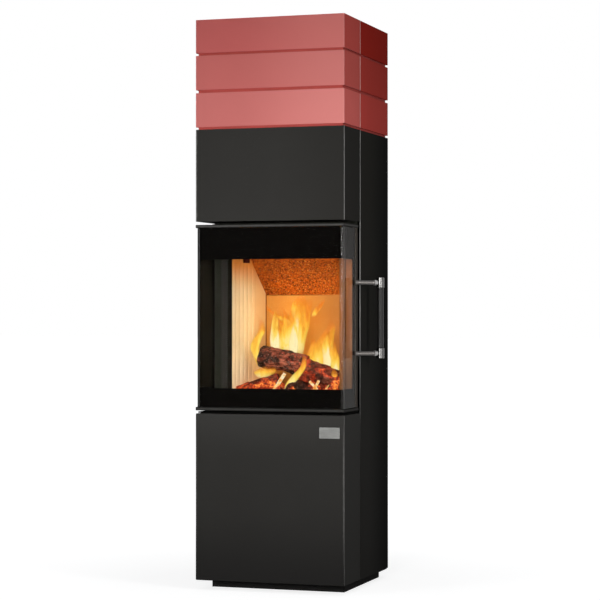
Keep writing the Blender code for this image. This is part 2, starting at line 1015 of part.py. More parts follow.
cut(
    latch_post,
    *[
        block(
            shaft_x - channel_half,
            post_outer_x + 0.01,
            shaft_y - arm_half,
            door_rear_y + 0.01,
            z - arm_half,
            z + arm_half,
        )
        for z in (arm_lower_z, arm_upper_z)
    ],
    *[
        block(
            post_inner_x - 0.01,
            shaft_x,
            shaft_y - channel_half,
            door_rear_y + 0.01,
            z - hook_half,
            z + hook_half,
        )
        for z in (hook_lower_z, hook_upper_z)
    ],
)

# Pins of the fire door: the lower one stands on the shelf, the upper one hangs from a bracket on the face frame
lower_pin_z = shelf_top + seat_gap
shoulder_height = door_lift - 2 * seat_gap
new_object(
    "fire_door_lower_pin",
    turned(
        [
            (door_shoulder_radius, 0),
            (door_shoulder_radius, shoulder_height),
            (door_pin_radius, shoulder_height),
            (door_pin_radius, shoulder_height + door_pin_length),
        ],
        (door_pin_x, door_pin_y, lower_pin_z),
        (0, 0, 1),
        small_steps,
    ),
    bright_steel,
)
bracket_z = door_top + bracket_lift
new_object(
    "upper_hinge_bracket",
    block(
        door_pin_x - bracket_width / 2,
        door_pin_x + bracket_width / 2,
        door_pin_y - bracket_width / 2,
        frame_front_y - seat_gap,
        bracket_z,
        bracket_z + bracket_sheet,
    ),
    black_paint,
)
new_object(
    "fire_door_upper_pin",
    turned(
        [(door_pin_radius, 0), (door_pin_radius, door_pin_length)],
        (door_pin_x, door_pin_y, bracket_z - seat_gap - door_pin_length),
        (0, 0, 1),
        small_steps,
    ),
    bright_steel,
)

# Handle: shaft in the latch post, two slanting arms, collars and the upright grip
handle_axis.parent = door_hinge
handle_axis.location = (shaft_x - door_pin_x, shaft_y - door_pin_y, 0)


def handle_piece(name, bm, material, z):
    piece = new_object(name, bm, material, origin=(shaft_x, shaft_y, z))
    piece.parent = handle_axis
    piece.location = (0, 0, z)
    return piece


shaft_z0 = glass_z + seat_gap
shaft_z1 = glass_top - seat_gap
handle_piece(
    "latch_shaft",
    turned(
        [(shaft_radius, 0), (shaft_radius, shaft_z1 - shaft_z0)],
        (shaft_x, shaft_y, shaft_z0),
        (0, 0, 1),
        small_steps,
    ),
    raw_steel,
    shaft_z0,
)
arm_way = Vector((math.cos(arm_angle), math.sin(arm_angle), 0))
hook_way = Vector((math.cos(hook_angle), math.sin(hook_angle), 0))
grip_x = shaft_x + arm_reach * arm_way.x
grip_y = shaft_y + arm_reach * arm_way.y
arm_start = shaft_radius + seat_gap
arm_length = arm_reach - collar_radius - arm_start - seat_gap
for name, z in (("lower_arm", arm_lower_z), ("upper_arm", arm_upper_z)):
    foot = Vector((shaft_x, shaft_y, z)) + arm_way * arm_start
    handle_piece(
        name,
        turned(
            [
                (arm_radius, 0),
                (arm_radius, arm_length - arm_ring_length),
                (arm_ring_radius, arm_length - arm_ring_length),
                (arm_ring_radius, arm_length),
            ],
            foot,
            arm_way,
            small_steps,
        ),
        brushed_steel,
        z,
    )
for name, z in (("lower_collar", arm_lower_z), ("upper_collar", arm_upper_z)):
    handle_piece(
        name,
        turned(
            [(collar_radius, 0), (collar_radius, collar_height)],
            (grip_x, grip_y, z - collar_height / 2),
            (0, 0, 1),
            small_steps,
        ),
        bright_steel,
        z,
    )
grip_z0 = arm_lower_z + collar_height / 2 + seat_gap
grip_z1 = arm_upper_z - collar_height / 2 - seat_gap
handle_piece(
    "grip_bar",
    turned(
        [(grip_radius, 0), (grip_radius, grip_z1 - grip_z0)],
        (grip_x, grip_y, grip_z0),
        (0, 0, 1),
        small_steps,
    ),
    grip_coat,
    grip_z0,
)
hook_turn = Matrix.Rotation(hook_angle, 4, "Z")
for name, z in (("lower_hook", hook_lower_z), ("upper_hook", hook_upper_z)):
    hook = block(
        shaft_radius + seat_gap,
        hook_reach,
        -hook_width / 2,
        hook_width / 2,
        z - hook_height / 2,
        z + hook_height / 2,
    )
    bmesh.ops.transform(hook, matrix=Matrix.Translation((shaft_x, shaft_y, 0)) @ hook_turn, verts=hook.verts)
    handle_piece(name, hook, raw_steel, z)

# Keepers on the face frame, beside the tips of the hooks
keeper_x1 = shaft_x + hook_reach * hook_way.x - keeper_gap
for name, z in (("lower_keeper", hook_lower_z), ("upper_keeper", hook_upper_z)):
    new_object(
        name,
        block(
            keeper_x1 - keeper_width,
            keeper_x1,
            door_rear_y,
            frame_front_y - 3 * seat_gap - seal_sheet,
            z - keeper_height / 2,
            z + keeper_height / 2,
        ),
        raw_steel,
    )

# Storage section: front cover, floor, flue and two stones
new_object(
    "upper_front", prism(front_cover(cover_sheet), upper_front_z, casing_top), black_paint
)
storage_floor = new_object(
    "storage_floor",
    block(
        -liner_x,
        liner_x,
        -liner_rear_y,
        liner_rear_y,
        storage_floor_z,
        storage_floor_z + storage_floor_sheet,
    ),
    black_paint,
)
flue_hole = flue_radius + flue_play


def flue_cutter(z0, z1):
    return turned([(flue_hole, 0), (flue_hole, z1 - z0)], (0, flue_y, z0), (0, 0, 1), round_steps)


cut(storage_floor, flue_cutter(storage_floor_z - 0.01, storage_floor_z + 0.02))
storage_x = right_x - storage_inset
storage_y = rear_y - storage_inset
stone_z0 = storage_floor_z + storage_floor_sheet + seat_gap
stone_z2 = casing_top - 0.001
stone_z1 = (stone_z0 + stone_z2) / 2
for name, z0, z1 in (
    ("storage_stone_lower", stone_z0, stone_z1 - seat_gap),
    ("storage_stone_upper", stone_z1, stone_z2),
):
    stone = new_object(name, block(-storage_x, storage_x, -storage_y, storage_y, z0, z1), storage_stone)
    cut(stone, flue_cutter(z0 - 0.01, z1 + 0.01))

# Storage rings: a stone block with a set-back neck, wrapped by a front and a rear cover
ring_names = ("bottom", "middle", "top")
ring_below = stone_z2
ring_z = casing_top
band_x = right_x - band_recess
band_y = rear_y - band_recess
for place, height, gap in zip(ring_names, ring_heights, ring_gaps):
    ring_z += gap
    ring_top = ring_z + height
    stone_top = ring_top
    if place == "top":
        stone_top -= top_plate_sheet + top_plate_drop + seat_gap
    stone = new_object(
        f"ring_stone_{place}",
        stepped_block(
            [
                (band_x, band_y, ring_below + seat_gap),
                (band_x, band_y, ring_z + seat_gap),
                (liner_x, liner_rear_y, ring_z + seat_gap),
                (liner_x, liner_rear_y, stone_top),
            ]
        ),
        ring_stone,
    )
    cut(stone, flue_cutter(ring_below - 0.01, ring_top + 0.01))
    new_object(f"ring_front_{place}", prism(front_cover(cover_sheet), ring_z, ring_top), red_paint)
    new_object(f"ring_rear_{place}", prism(rear_cover(cover_sheet), ring_z, ring_top), red_paint)
    ring_below = stone_top
    ring_z = ring_top

top_plate_z = ring_below + seat_gap
top_plate_top = ring_z - top_plate_drop
top_plate = new_object(
    "top_plate",
    block(-liner_x, liner_x, -liner_rear_y, liner_rear_y, top_plate_z, top_plate_top),
    red_paint,
)
cut(top_plate, flue_cutter(top_plate_z - 0.01, top_plate_top + 0.01))

# Flue: stands on the firebox shell and ends as the smoke outlet above the top plate
flue_z = shell_top + seat_gap
flue_length = ring_z + flue_rise - flue_z
new_object(
    "flue_pipe",
    turned(
        [
            (flue_radius - flue_sheet, 0),
            (flue_radius, 0),
            (flue_radius, flue_length),
            (flue_radius - flue_sheet, flue_length),
        ],
        (0, flue_y, flue_z),
        (0, 0, 1),
        round_steps,
        hollow=True,
    ),
    raw_steel,
)
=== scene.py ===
import math
import random

import bmesh
import bpy
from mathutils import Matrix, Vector


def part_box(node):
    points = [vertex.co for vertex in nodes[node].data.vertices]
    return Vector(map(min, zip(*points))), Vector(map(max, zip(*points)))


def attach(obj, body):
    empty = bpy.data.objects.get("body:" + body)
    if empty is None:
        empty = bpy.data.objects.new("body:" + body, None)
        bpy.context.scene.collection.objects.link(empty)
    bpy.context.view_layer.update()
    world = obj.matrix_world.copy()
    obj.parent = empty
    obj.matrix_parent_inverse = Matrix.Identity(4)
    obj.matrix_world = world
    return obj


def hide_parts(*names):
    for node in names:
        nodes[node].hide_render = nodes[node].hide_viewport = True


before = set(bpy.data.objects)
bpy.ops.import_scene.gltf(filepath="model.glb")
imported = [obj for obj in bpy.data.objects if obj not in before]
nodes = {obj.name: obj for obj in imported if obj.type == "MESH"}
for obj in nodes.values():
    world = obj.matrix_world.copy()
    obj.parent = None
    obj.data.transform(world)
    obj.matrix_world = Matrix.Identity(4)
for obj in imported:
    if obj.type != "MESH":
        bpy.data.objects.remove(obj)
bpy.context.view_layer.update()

# Camera, fitted to the photograph

def aimed(way):
    """The turn that makes a camera or a lamp look this way."""
    return Vector(way).to_track_quat("-Z", "Y").to_euler()


camera_data = bpy.data.cameras.new("camera")
camera_data.sensor_width = 36.0
camera_data.lens = 122.136
camera = bpy.data.objects.new("camera", camera_data)
camera.location = (2.12968, -6.35355, 0.89122)
camera.rotation_euler = aimed((-0.31504, 0.94906, 0.00589))
bpy.context.collection.objects.link(camera)
bpy.context.scene.camera = camera
bpy.context.scene.view_settings.view_transform = "Standard"


# Short ways of making nodes

FLOAT = "NodeSocketFloat"
COLOUR = "NodeSocketColor"
VECTOR = "NodeSocketVector"
WHITE = (1.0, 1.0, 1.0, 1.0)
BLACK = (0.0, 0.0, 0.0, 1.0)
# Where a Mix node has its sockets for colours
MIX_SHARE, MIX_FIRST, MIX_SECOND, MIX_RESULT = 0, 6, 7, 2


def feed(tree, socket, value):
    """Give an input a value, or join another node's output to it."""
    if isinstance(value, bpy.types.NodeSocket):
        tree.links.new(value, socket)
    else:
        socket.default_value = value


def node(tree, kind, links=(), **settings):
    """A node with its settings. links maps an input to its value, or to the output that feeds it."""
    made = tree.nodes.new(kind)
    for key, value in settings.items():
        setattr(made, key, value)
    for key, value in dict(links).items():
        feed(tree, made.inputs[key], value)
    return made


def maths(tree, operation, a, b=0.5, clamp=False):
    return node(tree, "ShaderNodeMath", {0: a, 1: b}, operation=operation, use_clamp=clamp).outputs[0]


def plus(tree, a, b, clamp=False):
    return maths(tree, "ADD", a, b, clamp)


def minus(tree, a, b, clamp=False):
    return maths(tree, "SUBTRACT", a, b, clamp)


def times(tree, a, b):
    return maths(tree, "MULTIPLY", a, b)


def vectors(tree, operation, a, b=(0, 0, 0)):
    return node(tree, "ShaderNodeVectorMath", {0: a, 1: b}, operation=operation).outputs[0]


def scaled(tree, colour, factor):
    return node(tree, "ShaderNodeVectorMath", {0: colour, "Scale": factor}, operation="SCALE").outputs[0]


def axes_of(tree, vector):
    return node(tree, "ShaderNodeSeparateXYZ", {0: vector}).outputs


def spread(tree, value, low, high, to_low=0.0, to_high=1.0, smooth=False):
    """Map low to to_low and high to to_high, and go no further than these."""
    links = {"Value": value, "From Min": low, "From Max": high, "To Min": to_low, "To Max": to_high}
    kind = "SMOOTHSTEP" if smooth else "LINEAR"
    return node(tree, "ShaderNodeMapRange", links, interpolation_type=kind, clamp=True).outputs["Result"]


def blend_colour(tree, share, a, b, how="MIX"):
    mix = node(tree, "ShaderNodeMix", {MIX_SHARE: share, MIX_FIRST: a, MIX_SECOND: b}, data_type="RGBA",
               blend_type=how, clamp_result=True)
    return mix.outputs[MIX_RESULT]


def ramp(tree, value, stops):
    made = node(tree, "ShaderNodeValToRGB", {"Fac": value})
    band = made.color_ramp
    while len(band.elements) < len(stops):
        band.elements.new(0.5)
    for element, (place, colour) in zip(band.elements, stops):
        element.position = place
        element.color = (*colour, 1.0)
    return made.outputs["Color"]


def own_place(tree):
    return tree.nodes.new("ShaderNodeTexCoord").outputs["Object"]


def noise(tree, vector, scale, detail=3.0, roughness=0.5, distortion=0.0):
    links = {"Vector": vector, "Scale": scale, "Detail": detail, "Roughness": roughness,
             "Distortion": distortion}
    return node(tree, "ShaderNodeTexNoise", links).outputs["Fac"]


def rgb(code):
    """Linear colour of a written hex colour."""
    parts = [int(code[i:i + 2], 16) / 255 for i in (0, 2, 4)]
    linear = [p / 12.92 if p <= 0.04045 else ((p + 0.055) / 1.055) ** 2.4 for p in parts]
    return (*linear, 1.0)


def new_finish(name, **sockets):
    """A material with a Principled shader. Each socket is named with _ for the spaces."""
    material = bpy.data.materials.new(name)
    material.use_nodes = True
    tree = material.node_tree
    shader = tree.nodes["Principled BSDF"]
    for key, value in sockets.items():
        feed(tree, shader.inputs[key.replace("_", " ")], value)
    return material, tree, shader


# Room, floor and lamps

def seen_directly(tree):
    """1 for what the camera, gloss and glass see, 0 for light that falls on a dull surface."""
    path = tree.nodes.new("ShaderNodeLightPath").outputs
    seen = maths(tree, "MAXIMUM", path["Is Camera Ray"], path["Is Glossy Ray"])
    return maths(tree, "MAXIMUM", seen, path["Is Transmission Ray"])


def light_the_room():
    """A white backdrop for what is seen directly, and a weak cool fill on the dull surfaces."""
    world = bpy.data.worlds.new("studio")
    bpy.context.scene.world = world
    world.use_nodes = True
    tree = world.node_tree
    tree.nodes.clear()
    fill = node(tree, "ShaderNodeBackground", {"Color": (0.93, 0.96, 1.0, 1.0), "Strength": 0.16})
    backdrop = node(tree, "ShaderNodeBackground", {"Color": WHITE, "Strength": 1.0})
    mix = node(tree, "ShaderNodeMixShader",
               {"Fac": seen_directly(tree), 1: fill.outputs[0], 2: backdrop.outputs[0]})
    node(tree, "ShaderNodeOutputWorld", {"Surface": mix.outputs[0]})


def lay_the_floor():
    """A pale floor that glows for the camera, more so away from the stove, so that it joins the backdrop."""
    floor_size = 120
    just_under = -0.0004
    glow_starts, glow_full = 0.5, 2.2
    bpy.ops.object.select_all(action="DESELECT")
    bpy.ops.mesh.primitive_plane_add(size=floor_size, location=(0, 0, just_under))
    floor = bpy.context.object
    floor.name = "floor"
    paint, tree, shader = new_finish("floor paint", Base_Color=(0.46, 0.46, 0.46, 1.0), Roughness=0.9,
                                     Specular_IOR_Level=0.0, Emission_Color=WHITE)
    away = node(tree, "ShaderNodeVectorMath", {0: own_place(tree)}, operation="LENGTH").outputs["Value"]
    rise = spread(tree, away, glow_starts, glow_full, 0.80, 1.0)
    feed(tree, shader.inputs["Emission Strength"], times(tree, rise, seen_directly(tree)))
    floor.data.materials.append(paint)


def soft_lamp(name, place, aim, width, height, watts, cone=180.0):
    data = bpy.data.lights.new(name, "AREA")
    data.shape = "RECTANGLE"
    data.size = width
    data.size_y = height
    data.energy = watts
    data.spread = math.radians(cone)
    lamp = bpy.data.objects.new(name, data)
    lamp.location = place
    lamp.rotation_euler = aimed(Vector(aim) - Vector(place))
    bpy.context.collection.objects.link(lamp)


def fire_lamp(name, place, watts, colour):
    """A small lamp among the flames, which is not seen itself."""
    data = bpy.data.lights.new(name, "POINT")
    data.shadow_soft_size = 0.05
    data.energy = watts
    data.color = colour
    lamp = bpy.data.objects.new(name, data)
    lamp.location = place
    lamp.visible_camera = lamp.visible_glossy = lamp.visible_transmission = False
    bpy.context.collection.objects.link(lamp)


light_the_room()
lay_the_floor()
stove_front = (0, -0.25, 0.95)
soft_lamp("front left lamp", (-2.3, -3.4, 1.00), stove_front, width=1.0, height=1.2, watts=5.6, cone=50.0)
soft_lamp("front lamp", (0.45, -3.9, 1.05), stove_front, width=1.1, height=1.0, watts=6.8, cone=50.0)
soft_lamp("right lamp", (1.5, -0.95, 1.25), (0.25, -0.35, 1.05), width=0.4, height=1.2, watts=4.0,
          cone=100.0)
soft_lamp("top lamp", (0.2, -0.2, 3.9), (0, 0, 0.9), width=2.0, height=2.0, watts=25.0)
fire_lamp("fire light low", (-0.02, 0.03, 0.820), watts=0.74, colour=(1.0, 0.77, 0.46))
fire_lamp("fire light rear", (-0.02, 0.070, 0.880), watts=0.6, colour=(1.0, 0.70, 0.36))
fire_lamp("fire light front", (0.060, -0.130, 0.800), watts=0.44, colour=(1.0, 0.86, 0.66))


# Effects that several materials share

def group_of(name, inputs, outputs):
    tree = bpy.data.node_groups.new(name, "ShaderNodeTree")
    for label, kind, value in inputs:
        socket = tree.interface.new_socket(label, in_out="INPUT", socket_type=kind)
        socket.default_value = value
    for label, kind in outputs:
        tree.interface.new_socket(label, in_out="OUTPUT", socket_type=kind)
    return tree, tree.nodes.new("NodeGroupInput").outputs, tree.nodes.new("NodeGroupOutput").inputs


def put(tree, group, **values):
    """Place a group in a material, with this material's own values."""
    placed = node(tree, "ShaderNodeGroup", node_tree=group)
    for key, value in values.items():
        feed(tree, placed.inputs[key.replace("_", " ")], value)
    return placed


def give(tree, leave, **results):
    """Join what a group works out to its outputs."""
    for key, value in results.items():
        tree.links.new(value, leave[key])


def make_paint_group():
    """Baked paint on sheet steel: a fine orange peel, slow clouds of tone and a few dust grains."""
    tree, enter, leave = group_of(
        "sprayed paint",
        [("Colour", COLOUR, (0.04, 0.04, 0.04, 1)), ("Clouds", FLOAT, 0.1), ("Gloss", FLOAT, 0.45)],
        [("Colour", COLOUR), ("Roughness", FLOAT), ("Height", FLOAT)],
    )
    place = own_place(tree)
    slow = noise(tree, place, 3.2, 4.0, 0.55)
    fine = noise(tree, place, 420.0, 2.0, 0.5)
    dust = noise(tree, place, 260.0, 1.0, 0.4)
    shade = spread(tree, slow, 0.3, 0.7, -1.0, 1.0)
    amount = times(tree, shade, enter["Clouds"])
    clouded = scaled(tree, enter["Colour"], plus(tree, amount, 1.0))
    specks = spread(tree, dust, 0.74, 0.80)
    dusty = blend_colour(tree, times(tree, specks, 0.10), clouded, (0.42, 0.41, 0.39, 1.0))
    rough = plus(tree, times(tree, shade, 0.03), enter["Gloss"])
    rough = plus(tree, rough, times(tree, fine, 0.05))
    give(tree, leave, Colour=dusty, Roughness=rough, Height=fine)
    return tree


def make_edge_group():
    """A mask along the edges of a box-shaped piece, a little ragged: it carries painted highlights and
    painted shade along edges, and soot in joints.
    """
    tree, enter, leave = group_of(
        "edge mask for painted light and soot",
        [("Middle", VECTOR, (0, 0, 0)), ("Half", VECTOR, (0.1, 0.1, 0.1)), ("Width", FLOAT, 0.002)],
        [("Mask", FLOAT)],
    )
    place = own_place(tree)
    off = vectors(tree, "ABSOLUTE", vectors(tree, "SUBTRACT", place, enter["Middle"]))
    x, y, z = axes_of(tree, vectors(tree, "SUBTRACT", enter["Half"], off))
    low = maths(tree, "MINIMUM", x, y)
    high = maths(tree, "MAXIMUM", x, y)
    second = maths(tree, "MAXIMUM", low, maths(tree, "MINIMUM", high, z))
    ragged = times(tree, spread(tree, noise(tree, place, 60.0, 3.0), 0.3, 0.7, 0.75, 1.1), enter["Width"])
    give(tree, leave, Mask=minus(tree, 1.0, maths(tree, "DIVIDE", second, ragged), clamp=True))
    return tree


def make_brush_group():
    """Fine straight scratches: Stretch is small along the lines and large across them."""
    tree, enter, leave = group_of(
        "brush lines",
        [("Colour", COLOUR, (0.5, 0.5, 0.5, 1)), ("Stretch", VECTOR, (1, 1, 1)), ("Depth", FLOAT, 0.3),
         ("Gloss", FLOAT, 0.3)],
        [("Colour", COLOUR), ("Roughness", FLOAT), ("Height", FLOAT)],
    )
    place = own_place(tree)
    lines = noise(tree, vectors(tree, "MULTIPLY", place, enter["Stretch"]), 1.0, 5.0, 0.65)
    patches = noise(tree, place, 38.0, 2.0)
    tone = spread(tree, lines, 0.25, 0.75, -1.0, 1.0)
    tone = times(tree, tone, enter["Depth"])
    tone = plus(tree, tone, spread(tree, patches, 0.3, 0.7, 0.94, 1.06))
    rough = plus(tree, spread(tree, lines, 0.25, 0.75, -0.08, 0.08), enter["Gloss"])
    give(tree, leave, Colour=scaled(tree, enter["Colour"], tone), Roughness=rough, Height=lines)
    return tree


def make_stone_group():
    """Cast lining stone: small pores, a sandy grain, slow stains and soot that thickens downwards."""
    tree, enter, leave = group_of(
        "cast stone",
        [("Colour", COLOUR, (0.7, 0.5, 0.3, 1)), ("Stain", COLOUR, (0.5, 0.3, 0.2, 1)),
         ("Pores", FLOAT, 260.0), ("Soot", FLOAT, 0.0), ("Soot level", FLOAT, 0.62)],
        [("Colour", COLOUR), ("Roughness", FLOAT), ("Height", FLOAT)],
    )
    place = own_place(tree)
    stain = noise(tree, place, 9.0, 5.0, 0.6)
    sand = noise(tree, place, 900.0, 2.0, 0.6)
    cells = node(tree, "ShaderNodeTexVoronoi", {"Vector": place, "Scale": enter["Pores"]}, feature="F1")
    pores = spread(tree, cells.outputs["Distance"], 0.10, 0.24)
    base = blend_colour(tree, spread(tree, stain, 0.42, 0.75, 0.0, 0.6), enter["Colour"], enter["Stain"])
    grainy = blend_colour(tree, spread(tree, sand, 0.3, 0.7, 0.0, 0.25), base, BLACK, "SOFT_LIGHT")
    pitted = blend_colour(tree, spread(tree, pores, 0.0, 1.0, 0.30, 0.0), grainy, (0.10, 0.07, 0.05, 1.0))
    above = minus(tree, axes_of(tree, place)["Z"], enter["Soot level"])
    cloud = spread(tree, noise(tree, place, 14.0, 4.0), 0.3, 0.7, -0.03, 0.05)
    sooty = spread(tree, plus(tree, above, cloud), 0.0, 0.12, 1.0, 0.0, True)
    sooty = times(tree, sooty, enter["Soot"])
    dark = blend_colour(tree, sooty, pitted, (0.035, 0.026, 0.02, 1.0))
    give(tree, leave, Colour=dark,
         Roughness=spread(tree, sand, 0.3, 0.7, 0.84, 0.96),
         Height=plus(tree, pores, times(tree, sand, 0.5)))
    return tree


def make_flake_group():
    """Pressed board of mineral flakes: every flake has its own tone, with dark joints between."""
    tree, enter, leave = group_of(
        "pressed flakes",
        [("Colour", COLOUR, (0.6, 0.25, 0.05, 1)), ("Bright", COLOUR, (0.8, 0.45, 0.15, 1)),
         ("Dark", COLOUR, (0.2, 0.06, 0.02, 1)), ("Flakes", FLOAT, 190.0)],
        [("Colour", COLOUR), ("Roughness", FLOAT), ("Height", FLOAT)],
    )
    place = own_place(tree)
    cells = node(tree, "ShaderNodeTexVoronoi", {"Vector": place, "Scale": enter["Flakes"],
                                                "Randomness": 1.0}, feature="F1")
    each = node(tree, "ShaderNodeSeparateColor", {0: cells.outputs["Color"]})
    light = spread(tree, each.outputs[0], 0.80, 1.0, 0.0, 0.7)
    deep = spread(tree, each.outputs[1], 0.50, 1.0, 0.0, 0.95)
    joint = spread(tree, cells.outputs["Distance"], 0.40, 0.75, 0.0, 0.7)
    slow = noise(tree, place, 11.0, 4.0, 0.6)
    colour = blend_colour(tree, light, enter["Colour"], enter["Bright"])
    colour = blend_colour(tree, deep, colour, enter["Dark"])
    colour = blend_colour(tree, joint, colour, enter["Dark"])
    colour = blend_colour(tree, spread(tree, slow, 0.35, 0.7, 0.0, 0.35), colour, enter["Dark"])
    give(tree, leave, Colour=colour,
         Roughness=spread(tree, each.outputs[2], 0.0, 1.0, 0.7, 0.95),
         Height=spread(tree, cells.outputs["Distance"], 0.0, 0.8, 1.0, 0.0))
    return tree


def make_ember_group():
    """Burning wood: brown and black char with ash, dark knots, and patches that glow through it."""
    tree, enter, leave = group_of(
        "burning wood",
        [("Grain", VECTOR, (1, 1, 1)), ("Heat", FLOAT, 0.5), ("Rise", FLOAT, 0.0), ("Ash", FLOAT, 0.2),
         ("Brown", FLOAT, 0.5)],
        [("Colour", COLOUR), ("Glow", COLOUR), ("Roughness", FLOAT), ("Height", FLOAT)],
    )
    place = own_place(tree)
    along = vectors(tree, "MULTIPLY", place, enter["Grain"])
    grain = noise(tree, along, 130.0, 5.0, 0.6, 0.4)
    knots = noise(tree, place, 44.0, 4.0, 0.6, 0.3)
    zones = noise(tree, place, 21.0, 5.0, 0.62, 0.5)
    specks = noise(tree, place, 130.0, 3.0, 0.6)
    checks = node(tree, "ShaderNodeTexVoronoi", {"Vector": along, "Scale": 85.0}, feature="DISTANCE_TO_EDGE")
    split = spread(tree, checks.outputs["Distance"], 0.01, 0.10, 1.0, 0.0, True)
    heat = plus(tree, enter["Heat"], times(tree, axes_of(tree, place)["X"], enter["Rise"]))
    level = plus(tree, zones, minus(tree, heat, 0.5))
    hot = spread(tree, level, 0.40, 0.66, 0.0, 1.0, True)
    broken = spread(tree, specks, 0.32, 0.58, 0.15, 1.0)
    glow = times(tree, hot, broken)
    glow = plus(tree, glow, times(tree, times(tree, hot, split), 0.35), clamp=True)
    brown = ramp(tree, grain, [(0.25, (0.020, 0.008, 0.006)), (0.44, (0.18, 0.036, 0.020)),
                               (0.58, (0.38, 0.105, 0.058)), (0.8, (0.46, 0.200, 0.130))])
    black = ramp(tree, grain, [(0.3, (0.006, 0.004, 0.004)), (0.7, (0.045, 0.022, 0.016))])
    dark = spread(tree, knots, 0.42, 0.56, 0.0, 1.0, True)
    dark = minus(tree, 1.0, times(tree, dark, enter["Brown"]), clamp=True)
    bark = blend_colour(tree, dark, brown, black)
    ash = times(tree, spread(tree, specks, 0.50, 0.70), enter["Ash"])
    ashy = blend_colour(tree, ash, bark, (0.30, 0.20, 0.16, 1.0))
    charred = blend_colour(tree, times(tree, split, 0.55), ashy, (0.008, 0.004, 0.003, 1.0))
    light = ramp(tree, glow, [(0.0, (0.0, 0.0, 0.0)), (0.18, (0.06, 0.004, 0.002)),
                              (0.42, (0.30, 0.020, 0.006)), (0.70, (0.62, 0.075, 0.014)),
                              (0.90, (0.80, 0.15, 0.022)), (1.0, (0.98, 0.36, 0.06))])
    give(tree, leave, Colour=charred, Glow=light,
         Roughness=spread(tree, specks, 0.3, 0.7, 0.75, 0.95),
         Height=minus(tree, grain, times(tree, split, 0.8)))
    return tree


def make_flame_group():
    """Wisps of burning gas that stream upwards: thick ones are pale yellow, thin ones orange."""
    tree, enter, leave = group_of(
        "flame wisps",
        [("Heat", FLOAT, 0.5), ("Seed", FLOAT, 0.0), ("Wisps", FLOAT, 3.0), ("Fill", FLOAT, 0.5),
         ("Foot", FLOAT, 0.0), ("Tip", FLOAT, 1.0)],
        [("Glow", COLOUR), ("Body", FLOAT)],
    )
    place = own_place(tree)
    up = spread(tree, axes_of(tree, place)["Z"], enter["Foot"], enter["Tip"])
    drawn_up = vectors(tree, "MULTIPLY", place, (18.0, 5.0, 5.0))
    shift = node(tree, "ShaderNodeCombineXYZ", {"X": enter["Seed"]}).outputs[0]
    moved = vectors(tree, "ADD", drawn_up, shift)
    wisps = noise(tree, moved, enter["Wisps"], 3.0, 0.5, 1.1)
    licks = noise(tree, moved, times(tree, enter["Wisps"], 0.42), 2.0, 0.5, 0.8)
    both = plus(tree, times(tree, wisps, 0.55), times(tree, licks, 0.45))
    both = plus(tree, both, times(tree, minus(tree, enter["Fill"], 0.5), 0.4))
    both = minus(tree, both, spread(tree, up, 0.25, 1.0, 0.0, 0.24))
    streak = spread(tree, both, 0.27, 0.56, 0.0, 1.0, True)
    tip = spread(tree, up, 0.55, 0.97, 1.0, 0.0, True)
    root = spread(tree, up, 0.02, 0.20, 0.0, 1.0, True)
    body = times(tree, times(tree, tip, root), streak)
    hot = plus(tree, spread(tree, both, 0.36, 0.66, 0.0, 0.75), spread(tree, up, 0.15, 0.9, 0.32, -0.12))
    hot = plus(tree, hot, minus(tree, enter["Heat"], 0.5))
    glow = ramp(tree, hot, [(0.0, (0.90, 0.24, 0.02)), (0.25, (0.97, 0.42, 0.04)), (0.5, (0.99, 0.60, 0.07)),
                            (0.75, (1.0, 0.76, 0.15)), (1.0, (1.0, 0.90, 0.50))])
    give(tree, leave, Glow=glow, Body=body)
    return tree


def make_braid_group():
    """A flat cord of glass fibre: two sets of strands that cross at a slant."""
    tree, enter, leave = group_of(
        "flat braid",
        [("Colour", COLOUR, (0.1, 0.1, 0.1, 1)), ("Strands", FLOAT, 700.0)],
        [("Colour", COLOUR), ("Roughness", FLOAT), ("Height", FLOAT)],
    )
    place = own_place(tree)
    axes = axes_of(tree, place)
    one = maths(tree, "SINE", times(tree, plus(tree, axes["X"], axes["Z"]), enter["Strands"]))
    two = maths(tree, "SINE", times(tree, minus(tree, axes["X"], axes["Z"]), enter["Strands"]))
    weave = maths(tree, "MAXIMUM", one, two)
    tone = spread(tree, weave, -0.4, 1.0, 0.45, 1.15)
    give(tree, leave, Colour=scaled(tree, enter["Colour"], tone),
         Roughness=spread(tree, noise(tree, place, 300.0), 0.3, 0.7, 0.88, 0.98),
         Height=weave)
    return tree


paint_group = make_paint_group()
edge_group = make_edge_group()
brush_group = make_brush_group()
stone_group = make_stone_group()
flake_group = make_flake_group()
ember_group = make_ember_group()
flame_group = make_flame_group()
braid_group = make_braid_group()


# Finishes

def wire(tree, shader, source, relief, distance=0.0004):
    """Join a group's colour, roughness and height to the shader."""
    tree.links.new(source.outputs["Colour"], shader.inputs["Base Color"])
    tree.links.new(source.outputs["Roughness"], shader.inputs["Roughness"])
    bump = node(tree, "ShaderNodeBump", {"Height": source.outputs["Height"], "Strength": relief,
                                         "Distance": distance})
    tree.links.new(bump.outputs[0], shader.inputs["Normal"])


def mix_in(tree, share, colour):
    """Mix a second colour into the one that the shader already gets."""
    socket = tree.nodes["Principled BSDF"].inputs["Base Color"]
    tree.links.new(blend_colour(tree, share, socket.links[0].from_socket, colour), socket)


def fade(material, code, axis, start, end, most=1.0):
    """Mix a second colour into a finish along X, Y or Z: nothing of it at start, most of it at end."""
    tree = material.node_tree
    along = axes_of(tree, own_place(tree))[axis]
    first, last = (0.0, most) if start < end else (most, 0.0)
    share = spread(tree, along, min(start, end), max(start, end), first, last, True)
    mix_in(tree, share, rgb(code))


def painted_light_and_soot_on_edges(material, low, high, width, colour):
    """Mix a second colour into a finish along the edges of the box from low to high: a painted highlight on
    casing corners and seams, painted shade on the door plates, soot in firebox joints.
    """
    tree = material.node_tree
    low, high = Vector(low), Vector(high)
    edges = put(tree, edge_group, Middle=(low + high) / 2, Half=(high - low) / 2, Width=width)
    mix_in(tree, edges.outputs["Mask"], colour)


